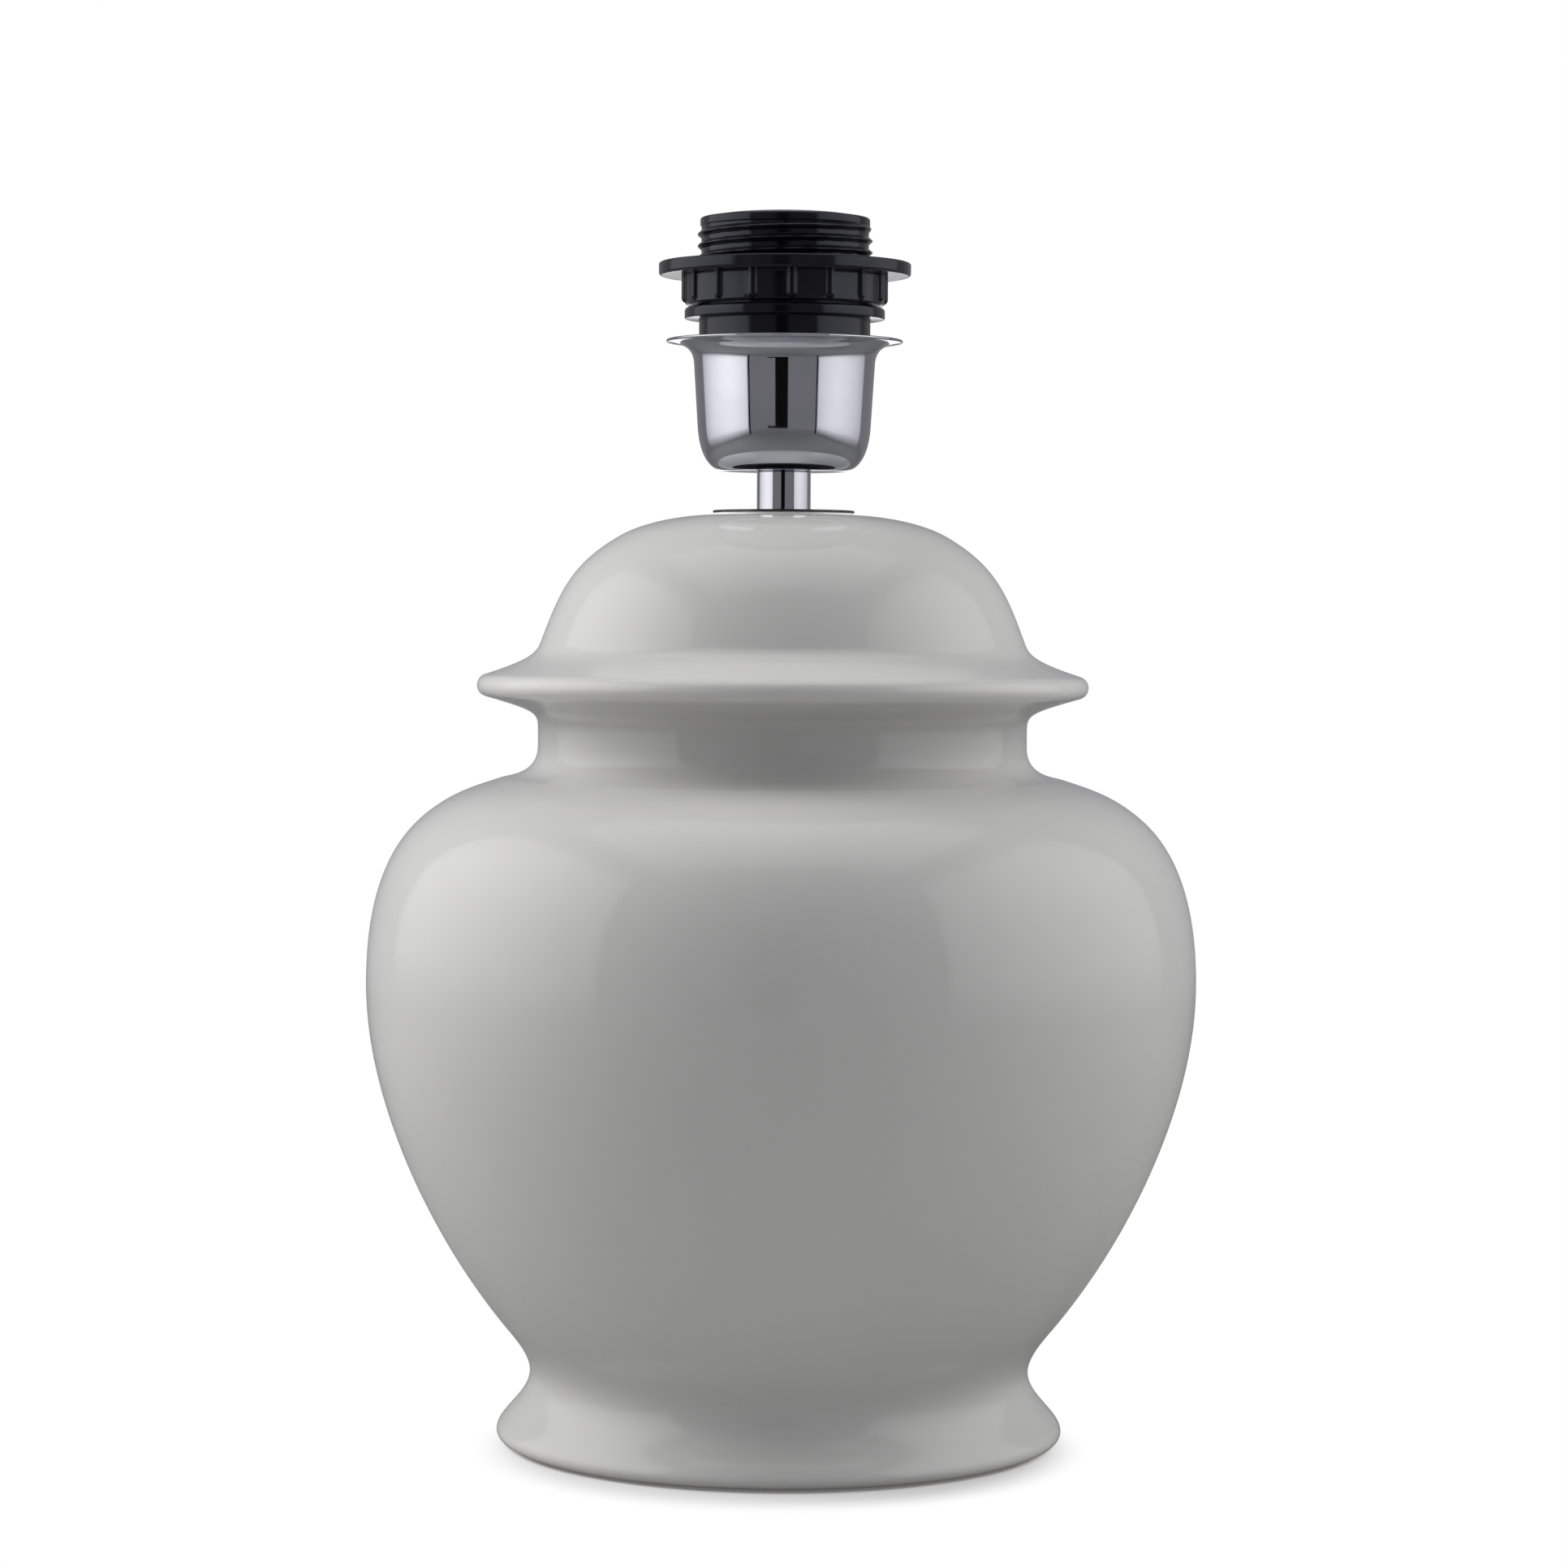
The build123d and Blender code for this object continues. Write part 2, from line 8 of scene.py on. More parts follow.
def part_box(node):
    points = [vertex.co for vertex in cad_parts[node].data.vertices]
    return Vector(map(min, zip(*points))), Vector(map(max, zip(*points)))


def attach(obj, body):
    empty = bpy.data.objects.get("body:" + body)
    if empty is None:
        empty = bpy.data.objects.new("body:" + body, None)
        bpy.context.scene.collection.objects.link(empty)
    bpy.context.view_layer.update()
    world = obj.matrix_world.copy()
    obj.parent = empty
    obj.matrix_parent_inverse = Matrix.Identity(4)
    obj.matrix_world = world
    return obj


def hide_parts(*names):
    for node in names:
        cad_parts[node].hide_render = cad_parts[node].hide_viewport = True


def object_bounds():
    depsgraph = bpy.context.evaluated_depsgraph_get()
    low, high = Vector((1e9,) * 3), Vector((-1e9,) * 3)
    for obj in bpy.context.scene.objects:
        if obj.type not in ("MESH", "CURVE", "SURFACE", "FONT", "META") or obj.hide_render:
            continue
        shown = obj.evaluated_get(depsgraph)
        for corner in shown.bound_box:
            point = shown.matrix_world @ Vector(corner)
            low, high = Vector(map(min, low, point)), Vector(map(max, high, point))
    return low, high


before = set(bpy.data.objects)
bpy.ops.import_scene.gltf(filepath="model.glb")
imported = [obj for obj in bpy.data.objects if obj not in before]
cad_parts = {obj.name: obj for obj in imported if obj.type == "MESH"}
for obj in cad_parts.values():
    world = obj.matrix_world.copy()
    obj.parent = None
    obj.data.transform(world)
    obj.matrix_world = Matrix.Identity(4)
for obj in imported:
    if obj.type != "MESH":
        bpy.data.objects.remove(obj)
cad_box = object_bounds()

# ---------------------------------------------------------------------------
# The camera: a long lens at about a metre, a little above the jar's middle and
# tipped down slightly, so the foot shows from above and the lampholder from below. It
# leans over by a third of a degree.
# ---------------------------------------------------------------------------
camera_distance, camera_height, camera_side = 0.990, 0.190, 0.0002
camera_tilt, camera_lean = 2.28, 0.32
camera_data = bpy.data.cameras.new("camera")
camera_data.lens = 99.3
camera_data.sensor_width = 36.0
camera_data.clip_start = 0.05
camera = bpy.data.objects.new("camera", camera_data)
camera.location = (camera_side, -camera_distance, camera_height)
camera.rotation_euler = (math.radians(90 - camera_tilt), math.radians(-camera_lean), 0.0)
bpy.context.scene.collection.objects.link(camera)
bpy.context.scene.camera = camera
bpy.context.scene.view_settings.view_transform = "Standard"

# ---------------------------------------------------------------------------
# The studio: a pale floor, a tall soft light on each side in a black cloth frame, a
# soft light overhead and two from behind, a low white backdrop, and the dark stand
# that the camera is on.
# ---------------------------------------------------------------------------


def mesh_object(name, vertices, faces):
    """A mesh object made from plain lists, linked into the scene."""
    mesh = bpy.data.meshes.new(name)
    mesh.from_pydata(vertices, [], faces)
    mesh.update()
    made = bpy.data.objects.new(name, mesh)
    bpy.context.scene.collection.objects.link(made)
    return made


def new_material(name):
    """An empty node material: (material, its nodes, its links, its Principled shader)."""
    material = bpy.data.materials.new(name)
    material.use_nodes = True
    nodes, links = material.node_tree.nodes, material.node_tree.links
    return material, nodes, links, nodes["Principled BSDF"]


def studio_panel(name, corners, material):
    """A flat panel that lights and reflections see but the camera doesn't."""
    panel = mesh_object(name, corners, [tuple(range(len(corners)))])
    panel.data.materials.append(material)
    panel.visible_camera = False
    panel.visible_shadow = False
    return panel


def node_group(name, inputs, outputs):
    """An empty shader node group with float inputs (with defaults) and outputs: (group, in, out)."""
    group = bpy.data.node_groups.new(name, "ShaderNodeTree")
    for label, default in inputs.items():
        socket = group.interface.new_socket(
            name=label, in_out="INPUT", socket_type="NodeSocketFloat"
        )
        socket.default_value = default
    for label in outputs:
        group.interface.new_socket(
            name=label, in_out="OUTPUT", socket_type="NodeSocketFloat"
        )
    return group, group.nodes.new("NodeGroupInput"), group.nodes.new("NodeGroupOutput")


def placed(nodes, group, **values):
    """One use of a node group with its own values."""
    node = nodes.new("ShaderNodeGroup")
    node.node_tree = group
    for label, value in values.items():
        node.inputs[label].default_value = value
    return node


def calculated(nodes, links, operation, *values):
    """One step of arithmetic on sockets or plain numbers: its output socket."""
    node = nodes.new("ShaderNodeMath")
    node.operation = operation
    for socket, value in zip(node.inputs, values):
        if isinstance(value, (int, float)):
            socket.default_value = value
        else:
            links.new(value, socket)
    return node.outputs["Value"]


# brightness across a soft light's cloth: Place runs from 0 to 1 across it, with the hottest part
# at Hot, a loss of Drop at the far side and a soft rim of width Rim
cloth_glow, entry, result = node_group(
    "cloth_glow", {"Place": 0.5, "Hot": 0.5, "Drop": 0.5, "Rim": 0.03}, ["Value"]
)
nodes, links = cloth_glow.nodes, cloth_glow.links
away = calculated(nodes, links, "SUBTRACT", entry.outputs["Place"], entry.outputs["Hot"])
away = calculated(nodes, links, "ABSOLUTE", away)
away = calculated(nodes, links, "POWER", away, 1.6)
loss = calculated(nodes, links, "MULTIPLY", away, entry.outputs["Drop"])
lit = calculated(nodes, links, "SUBTRACT", 1.0, loss)
middle = calculated(nodes, links, "SUBTRACT", entry.outputs["Place"], 0.5)
middle = calculated(nodes, links, "ABSOLUTE", middle)
to_rim = calculated(nodes, links, "SUBTRACT", 0.5, middle)
rim = calculated(nodes, links, "DIVIDE", to_rim, entry.outputs["Rim"])
rim = calculated(nodes, links, "MINIMUM", rim, 1.0)
lit = calculated(nodes, links, "MULTIPLY", lit, rim)
links.new(lit, result.inputs["Value"])


def soft_light(name, centre, target, width, height, radiance, hot, drop):
    """A rectangular soft light that faces its target. Its middle is as bright as a surface of
    that radiance; hot and drop say where across and how much it fades, as in cloth_glow."""
    light = bpy.data.lights.new(name, "AREA")
    light.shape = "RECTANGLE"
    light.size = width
    light.size_y = height
    light.energy = radiance * math.pi * width * height
    light.use_nodes = True
    nodes, links = light.node_tree.nodes, light.node_tree.links
    across = nodes.new("ShaderNodeNewGeometry")
    parts = nodes.new("ShaderNodeSeparateXYZ")
    links.new(across.outputs["Parametric"], parts.inputs["Vector"])
    wide = placed(nodes, cloth_glow, Hot=hot, Drop=drop)
    links.new(parts.outputs["X"], wide.inputs["Place"])
    tall = placed(nodes, cloth_glow, Drop=drop, Rim=0.12)
    links.new(parts.outputs["Y"], tall.inputs["Place"])
    glow = calculated(nodes, links, "MULTIPLY", wide.outputs["Value"], tall.outputs["Value"])
    links.new(glow, nodes["Emission"].inputs["Strength"])
    lamp = bpy.data.objects.new(name, light)
    lamp.location = centre
    aim = Vector(target) - Vector(centre)
    lamp.rotation_euler = aim.to_track_quat("-Z", "Y").to_euler()
    lamp.visible_camera = False
    bpy.context.scene.collection.objects.link(lamp)
    return lamp


floor_height = cad_box[0].z
floor = mesh_object(
    "studio_floor",
    [(x, y, floor_height) for x, y in ((-6, -6), (6, -6), (6, 6), (-6, 6))],
    [(0, 1, 2, 3)],
)
# the floor keeps the lamp's shadow close to the foot and turns plain white further out; what
# the gloss mirrors is a greyer floor that fades into the room
shadow_reach, white_reach = 0.060, 0.0765
shadow_shift, shadow_stretch = (0.0, 0.010, 0.0), (1.08, 1.0, 1.0)
mirror_reach, room_reach = 0.5, 1.5
room_colour = (0.26, 0.255, 0.27, 1)
floor_material, nodes, links, floor_shader = new_material("pale_floor")
floor_shader.inputs["Base Color"].default_value = (0.56, 0.56, 0.56, 1)
floor_shader.inputs["Roughness"].default_value = 0.9
near_floor = nodes.new("ShaderNodeBsdfPrincipled")
near_floor.inputs["Base Color"].default_value = (0.62, 0.62, 0.62, 1)
near_floor.inputs["Roughness"].default_value = 0.9
near_floor.inputs["Specular IOR Level"].default_value = 0.1
near_floor.inputs["Emission Color"].default_value = (1, 1, 1, 1)
near_floor.inputs["Emission Strength"].default_value = 0.12
far_floor = nodes.new("ShaderNodeEmission")
middle = nodes.new("ShaderNodeTexCoord")
shifted = nodes.new("ShaderNodeVectorMath")
shifted.operation = "MULTIPLY_ADD"
shifted.inputs[1].default_value = shadow_stretch
shifted.inputs[2].default_value = shadow_shift
distance = nodes.new("ShaderNodeVectorMath")
distance.operation = "LENGTH"
fading = nodes.new("ShaderNodeMapRange")
fading.interpolation_type = "SMOOTHSTEP"
fading.inputs["From Min"].default_value = shadow_reach
fading.inputs["From Max"].default_value = white_reach
fade = nodes.new("ShaderNodeMixShader")
seen_by = nodes.new("ShaderNodeLightPath")
mirrored_floor = nodes.new("ShaderNodeBsdfDiffuse")
mirrored_floor.inputs["Color"].default_value = (0.20, 0.20, 0.195, 1)
mirrored_room = nodes.new("ShaderNodeEmission")
mirrored_room.inputs["Color"].default_value = room_colour
far_off = nodes.new("ShaderNodeMapRange")
far_off.inputs["From Min"].default_value = mirror_reach
far_off.inputs["From Max"].default_value = room_reach
mirrored = nodes.new("ShaderNodeMixShader")
gloss_mix = nodes.new("ShaderNodeMixShader")
floor_mix = nodes.new("ShaderNodeMixShader")
links.new(middle.outputs["Object"], shifted.inputs[0])
links.new(shifted.outputs["Vector"], distance.inputs[0])
links.new(distance.outputs["Value"], fading.inputs["Value"])
links.new(fading.outputs["Result"], fade.inputs["Fac"])
links.new(near_floor.outputs["BSDF"], fade.inputs[1])
links.new(far_floor.outputs["Emission"], fade.inputs[2])
links.new(seen_by.outputs["Is Camera Ray"], floor_mix.inputs["Fac"])
links.new(seen_by.outputs["Is Glossy Ray"], gloss_mix.inputs["Fac"])
links.new(floor_shader.outputs["BSDF"], gloss_mix.inputs[1])
links.new(distance.outputs["Value"], far_off.inputs["Value"])
links.new(far_off.outputs["Result"], mirrored.inputs["Fac"])
links.new(mirrored_floor.outputs["BSDF"], mirrored.inputs[1])
links.new(mirrored_room.outputs["Emission"], mirrored.inputs[2])
links.new(mirrored.outputs["Shader"], gloss_mix.inputs[2])
links.new(gloss_mix.outputs["Shader"], floor_mix.inputs[1])
links.new(fade.outputs["Shader"], floor_mix.inputs[2])
links.new(floor_mix.outputs["Shader"], nodes["Material Output"].inputs["Surface"])
floor.data.materials.append(floor_material)

world = bpy.data.worlds.new("studio")
bpy.context.scene.world = world
world.use_nodes = True
nodes, links = world.node_tree.nodes, world.node_tree.links
room = nodes["Background"]
room.inputs["Color"].default_value = room_colour
backdrop = nodes.new("ShaderNodeBackground")
backdrop.inputs["Color"].default_value = (1, 1, 1, 1)
seen_by = nodes.new("ShaderNodeLightPath")
world_mix = nodes.new("ShaderNodeMixShader")
links.new(seen_by.outputs["Is Camera Ray"], world_mix.inputs["Fac"])
links.new(room.outputs["Background"], world_mix.inputs[1])
links.new(backdrop.outputs["Background"], world_mix.inputs[2])
links.new(world_mix.outputs["Shader"], nodes["World Output"].inputs["Surface"])

side_distance = 0.65
side_height = 0.92
side_clearance = 0.02
left_front, left_back, left_radiance = -0.60, 0.50, 1.75
right_front, right_back, right_radiance = -0.69, 0.42, 1.40
for name, side, front, back, radiance, hot in (
    ("soft_light_left", -1, left_front, left_back, left_radiance, 0.62),
    ("soft_light_right", 1, right_front, right_back, right_radiance, 0.40),
):
    middle_y, middle_z = (front + back) / 2, side_height / 2 + side_clearance
    soft_light(
        name,
        (side * side_distance, middle_y, middle_z),
        (0.0, middle_y, middle_z),
        width=back - front,
        height=side_height,
        radiance=radiance,
        hot=hot,
        drop=1.5,
    )
soft_light(
    "soft_light_top",
    (0.0, -0.1, 1.25),
    (0.0, -0.1, 0.0),
    width=1.3,
    height=1.25,
    radiance=0.82,
    hot=0.5,
    drop=0.6,
)
# light from behind on each side, which the gloss doesn't mirror
for name, x, radiance in (("edge_light_left", -0.85, 9.6), ("edge_light_right", 0.85, 5.8)):
    place, target = (x, 0.1, 0.78), (0.0, 0.0, 0.12)
    edge_light = soft_light(name, place, target, 0.6, 0.6, radiance, hot=0.5, drop=0.0)
    edge_light.visible_glossy = False

black_cloth, nodes, links, cloth_shader = new_material("black_cloth")
cloth_shader.inputs["Base Color"].default_value = (0.01, 0.01, 0.01, 1)
cloth_shader.inputs["Roughness"].default_value = 0.95
cloth_shader.inputs["Specular IOR Level"].default_value = 0.0
frame_width = 0.045
frame_gap = 0.005
frame_top = side_height + 2 * side_clearance
for side, front, name in (
    (-1, left_front, "light_frame_left"),
    (1, right_front, "light_frame_right"),
):
    x = side * (side_distance - frame_gap)
    frame_corners = [
        (x, front - frame_width, 0.0),
        (x, front, 0.0),
        (x, front, frame_top),
        (x, front - frame_width, frame_top),
    ]
    studio_panel(name, frame_corners, black_cloth)
# the stand is a broad column with an arm at the top and a foot on the same side
panel_distance = 1.45
arm_end, column_left, column_right = -0.577, -0.30, 0.12
foot_top, arm_bottom, stand_top = 0.06, 0.70, 0.75
stand_outline = [
    (arm_end, 0.0),
    (column_right, 0.0),
    (column_right, stand_top),
    (arm_end, stand_top),
    (arm_end, arm_bottom),
    (column_left, arm_bottom),
    (column_left, foot_top),
    (arm_end, foot_top),
]
studio_panel("camera_stand", [(x, -panel_distance, z) for x, z in stand_outline], black_cloth)

white_backdrop, nodes, links, backdrop_shader = new_material("white_backdrop")
backdrop_shader.inputs["Base Color"].default_value = (0.8, 0.8, 0.8, 1)
backdrop_shader.inputs["Emission Color"].default_value = (1, 1, 1, 1)
backdrop_shader.inputs["Emission Strength"].default_value = 1.0
backdrop_side, backdrop_top = 0.13, 0.14
backdrop_outline = [
    (-backdrop_side, 0.0),
    (backdrop_side, 0.0),
    (backdrop_side, backdrop_top),
    (-backdrop_side, backdrop_top),
]
studio_panel("backdrop", [(x, panel_distance, z) for x, z in backdrop_outline], white_backdrop)

# ---------------------------------------------------------------------------
# The jar: foot, body, neck, lid edge and dome, slip-cast in one hollow piece of
# stoneware, turned smooth and dipped in a gloss warm-grey glaze. The ground foot
# is left bare. A hole at the back of the waist, with a flat round it, takes the cord.
# ---------------------------------------------------------------------------
MM = 0.001


def flow(start, start_angle, start_pull, end, end_angle, end_pull, steps=16):
    """Points of a smooth curve that leaves and arrives at given angles, without its end point."""
    a, b = math.radians(start_angle), math.radians(end_angle)
    p1 = (start[0] + start_pull * math.cos(a), start[1] + start_pull * math.sin(a))
    p2 = (end[0] - end_pull * math.cos(b), end[1] - end_pull * math.sin(b))
    points = []
    for step in range(steps):
        t = step / steps
        u = 1 - t
        weights = (u * u * u, 3 * u * u * t, 3 * u * t * t, t * t * t)
        points.append(
            tuple(
                sum(w * p[i] for w, p in zip(weights, (start, p1, p2, end)))
                for i in (0, 1)
            )
        )
    return points


def arc(centre, radius, start_angle, end_angle, steps=8):
    """Points on an arc, without its end point."""
    points = []
    for step in range(steps):
        a = math.radians(start_angle + (end_angle - start_angle) * step / steps)
        points.append((centre[0] + radius * math.cos(a), centre[1] + radius * math.sin(a)))
    return points


def turned(name, outline, columns=192, lift=None):
    """A piece turned about the lamp's axis from a closed outline of (radius, height) in
    millimetres. columns is a number of steps or a list of angles; lift(angle, radius, height)
    adds to the radius, as for a thread."""
    if isinstance(columns, int):
        columns = [2 * math.pi * column / columns for column in range(columns)]
    count = len(columns)
    vertices, faces, rings = [], [], []
    for radius, height in outline:
        if radius < 1e-6:
            rings.append([len(vertices)])
            vertices.append((0.0, 0.0, height * MM))
            continue
        rings.append(list(range(len(vertices), len(vertices) + count)))
        for angle in columns:
            out = radius + (lift(angle, radius, height) if lift else 0.0)
            vertices.append(
                (out * math.cos(angle) * MM, out * math.sin(angle) * MM, height * MM)
            )
    for index, ring in enumerate(rings):
        above = rings[(index + 1) % len(rings)]
        if len(ring) == 1 and len(above) == 1:
            continue
        for column in range(count):
            after = (column + 1) % count
            if len(ring) == 1:
                faces.append((ring[0], above[after], above[column]))
            elif len(above) == 1:
                faces.append((ring[column], ring[after], above[0]))
            else:
                faces.append((ring[column], ring[after], above[after], above[column]))
    piece = mesh_object(name, vertices, faces)
    return finished(piece)


def finished(piece, sharp_angle=38.0):
    """Outward faces and smooth shading, with hard edges where the surface turns sharply."""
    shape = bmesh.new()
    shape.from_mesh(piece.data)
    bmesh.ops.recalc_face_normals(shape, faces=shape.faces)
    limit = math.radians(sharp_angle)
    for face in shape.faces:
        face.smooth = True
    for edge in shape.edges:
        edge.smooth = edge.calc_face_angle(0.0) < limit
    shape.to_mesh(piece.data)
    shape.free()
    return piece


def cut_with(piece, tool):
    """Cuts the tool out of the piece and removes the tool."""
    boolean = piece.modifiers.new("cut", "BOOLEAN")
    boolean.operation = "DIFFERENCE"
    boolean.solver = "EXACT"
    boolean.object = tool
    evaluated = piece.evaluated_get(bpy.context.evaluated_depsgraph_get())
    cut_mesh = bpy.data.meshes.new_from_object(evaluated)
    piece.modifiers.remove(boolean)
    piece.data = cut_mesh
    bpy.data.objects.remove(tool)
    finished(piece)


def laid_back(piece, height):
    """Turns a piece made on the lamp's axis so that its axis runs towards the back, at a height."""
    piece.data.transform(Matrix.Rotation(math.radians(-90), 4, "X"))
    piece.data.transform(Matrix.Translation((0, 0, height * MM)))
    return piece


jar_low, jar_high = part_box("jar_body")
foot_bottom = jar_low.z / MM
jar_top = jar_high.z / MM
belly_radius = jar_high.x / MM
belly_height = 105.1
foot_radius, foot_edge_height = 64.9, 2.5
foot_inner_radius = 55.0
waist_radius, waist_height = 57.3, 16.0
neck_radius, neck_bottom, neck_middle, neck_top = 55.95, 159.2, 161.0, 163.0
neck_inner_radius, neck_inner_bottom, neck_inner_top = 50.5, 160.0, 178.0
lid_tip_radius, lid_tip_height, lid_edge_rounding = 69.9, 173.0, 2.6
stem_hole_radius = 5.5
dome_underside = 206.0
hole_radius, flat_radius, flat_depth = 4.7, 7.0, 56.6
glaze_wave = 0.09
# where one curve of the outline runs into the next: (radius, height) and the direction there
lower_wall, lower_wall_angle = (64.3, 28.2), 51.5
shoulder, shoulder_angle = (80.7, 144.2), 142
neck_foot, neck_foot_angle = (64.9, 151.65), 162
dome_foot, dome_foot_angle = (55.5, 182.6), 110.5
dome_turn, dome_turn_angle = (37.4, 207.2), 150
dome_flat_radius = 17.0
inner_lower_wall, inner_lower_angle = (60.2, 31.3), -128.5
inner_shoulder, inner_shoulder_angle = (77.2, 139.9), -38
inner_neck_foot, inner_neck_angle = (62.5, 147.0), -17
inner_belly_radius, inner_waist_radius = 89.9, 52.3
lid_under_angle, lid_over_angle = -74, 72

lid_edge = (lid_tip_radius - lid_edge_rounding, lid_tip_height)
under_tip, over_tip = (
    (
        lid_edge[0] + lid_edge_rounding * math.cos(math.radians(angle)),
        lid_edge[1] + lid_edge_rounding * math.sin(math.radians(angle)),
    )
    for angle in (lid_under_angle, lid_over_angle)
)
jar_outline = (
    [(foot_inner_radius, foot_bottom), (58.0, foot_bottom), (60.5, foot_bottom)]
    + flow((62.3, foot_bottom), 0, 1.6, (foot_radius, foot_edge_height), 90, 1.1, 8)
    + flow((foot_radius, foot_edge_height), 90, 3.2, (waist_radius, waist_height), 90, 6.2, 22)
    + flow((waist_radius, waist_height), 90, 4.4, lower_wall, lower_wall_angle, 3.7, 18)
    + flow(lower_wall, lower_wall_angle, 28.5, (belly_radius, belly_height), 90, 24.8, 44)
    + flow((belly_radius, belly_height), 90, 26.6, shoulder, shoulder_angle, 6.2, 30)
    + flow(shoulder, shoulder_angle, 6.8, neck_foot, neck_foot_angle, 6.2, 18)
    + flow(neck_foot, neck_foot_angle, 2.4, (neck_radius, neck_bottom), 90, 6.5, 18)
    + [(neck_radius, neck_bottom), (neck_radius, neck_middle)]
    + flow((neck_radius, neck_top), 90, 3.7, under_tip, 90 + lid_under_angle, 12.0, 20)
    + arc(lid_edge, lid_edge_rounding, lid_under_angle, lid_over_angle, 14)
    + flow(over_tip, 90 + lid_over_angle, 9.5, dome_foot, dome_foot_angle, 2.8, 22)
    + flow(dome_foot, dome_foot_angle, 12.0, dome_turn, dome_turn_angle, 13.2, 30)
    + flow(dome_turn, dome_turn_angle, 7.8, (dome_flat_radius, jar_top), 180, 3.0, 20)
    + [(dome_flat_radius, jar_top), (12.0, jar_top), (stem_hole_radius + 0.5, jar_top)]
    + [(stem_hole_radius, jar_top - 0.5), (stem_hole_radius, dome_underside)]
    + flow((18.0, dome_underside), 0, 16.0, (neck_inner_radius, neck_inner_top), -90, 14.0, 12)
    + [(neck_inner_radius, neck_inner_top)]
    + [(neck_inner_radius, (neck_inner_bottom + neck_inner_top) / 2)]
    + flow((neck_inner_radius, neck_inner_bottom), -90, 8.0, inner_neck_foot, inner_neck_angle, 4.0, 8)
    + flow(inner_neck_foot, inner_neck_angle, 5.0, inner_shoulder, inner_shoulder_angle, 6.0, 6)
    + flow(inner_shoulder, inner_shoulder_angle, 6.0, (inner_belly_radius, belly_height), -90, 24.0, 12)
    + flow((inner_belly_radius, belly_height), -90, 22.5, inner_lower_wall, inner_lower_angle, 27.0, 16)
    + flow(inner_lower_wall, inner_lower_angle, 3.7, (inner_waist_radius, waist_height), -90, 5.5, 6)
    + flow((inner_waist_radius, waist_height), -90, 5.0, (foot_inner_radius, foot_bottom), -75, 4.0, 5)
)


def cast_wave(angle, radius, height):
    """The slight unevenness of a cast and dipped wall, in millimetres, none at the foot and top."""
    if height < foot_bottom + 0.3 or height > jar_top - 2:
        return 0.0
    place = Vector((radius * math.cos(angle), radius * math.sin(angle), height))
    slow = noise.noise(place / 46.0)
    quick = noise.noise(place / 15.0 + Vector((7.0, 3.0, 1.0)))
    return glaze_wave * (slow - 1.0) * 0.6 + glaze_wave * 0.22 * quick


jar = turned("glazed_jar", jar_outline, columns=224, lift=cast_wave)
# two cutters from the back: one for the flat, and one for the hole, right through the wall
cutter_end, through_wall = 80, 40
for name, radius, depth in (
    ("flat_tool", flat_radius, flat_depth),
    ("hole_tool", hole_radius, through_wall),
):
    cutter_outline = [(0, depth), (radius, depth), (radius, cutter_end), (0, cutter_end)]
    cut_with(jar, laid_back(turned(name, cutter_outline, 64), waist_height))

# where the glaze runs thin: the rounded edges of the lid and the foot, and the bare ground foot
thin = jar.data.attributes.new("glaze_thin", "FLOAT", "POINT")
bare = jar.data.attributes.new("bare_clay", "FLOAT", "POINT")
for index, vertex in enumerate(jar.data.vertices):
    radius = vertex.co.xy.length / MM
    height = vertex.co.z / MM
    lid = max(0.0, 1 - math.hypot(radius - lid_tip_radius, height - lid_tip_height) / 3.4)
    foot = max(0.0, 1 - math.hypot(radius - foot_radius, height - foot_edge_height) / 2.6)
    thin.data[index].value = max(lid, foot)
    in_foot = radius < foot_inner_radius - 0.5 and height < 20
    in_neck = radius < neck_inner_radius + 0.1 and 21 < height < neck_inner_top
    unglazed = in_foot or in_neck or height < foot_bottom + 0.25
    bare.data[index].value = 1.0 if unglazed else 0.0


# cloudy variation: soft noise in the lamp's own coordinates, between Low and High
mottle, entry, result = node_group(
    "mottle", {"Scale": 40.0, "Detail": 3.0, "Low": 0.0, "High": 1.0}, ["Value"]
)
place = mottle.nodes.new("ShaderNodeTexCoord")
cloud = mottle.nodes.new("ShaderNodeTexNoise")
spread = mottle.nodes.new("ShaderNodeMapRange")
spread.inputs["From Min"].default_value = 0.34
spread.inputs["From Max"].default_value = 0.66
mottle.links.new(place.outputs["Object"], cloud.inputs["Vector"])
mottle.links.new(entry.outputs["Scale"], cloud.inputs["Scale"])
mottle.links.new(entry.outputs["Detail"], cloud.inputs["Detail"])
mottle.links.new(cloud.outputs["Fac"], spread.inputs["Value"])
mottle.links.new(entry.outputs["Low"], spread.inputs["To Min"])
mottle.links.new(entry.outputs["High"], spread.inputs["To Max"])
mottle.links.new(spread.outputs["Result"], result.inputs["Value"])

# small round specks, scattered sparsely: 1 on a speck and 0 elsewhere
specks, entry, result = node_group(
    "specks", {"Scale": 60.0, "Size": 0.03, "Share": 0.2}, ["Mask"]
)
place = specks.nodes.new("ShaderNodeTexCoord")
cells = specks.nodes.new("ShaderNodeTexVoronoi")
near = specks.nodes.new("ShaderNodeMath")
near.operation = "LESS_THAN"
apart = specks.nodes.new("ShaderNodeSeparateColor")
chosen = specks.nodes.new("ShaderNodeMath")
chosen.operation = "LESS_THAN"
both = specks.nodes.new("ShaderNodeMath")
both.operation = "MULTIPLY"
specks.links.new(place.outputs["Object"], cells.inputs["Vector"])
specks.links.new(entry.outputs["Scale"], cells.inputs["Scale"])
specks.links.new(cells.outputs["Distance"], near.inputs[0])
specks.links.new(entry.outputs["Size"], near.inputs[1])
specks.links.new(cells.outputs["Color"], apart.inputs["Color"])
specks.links.new(apart.outputs["Red"], chosen.inputs[0])
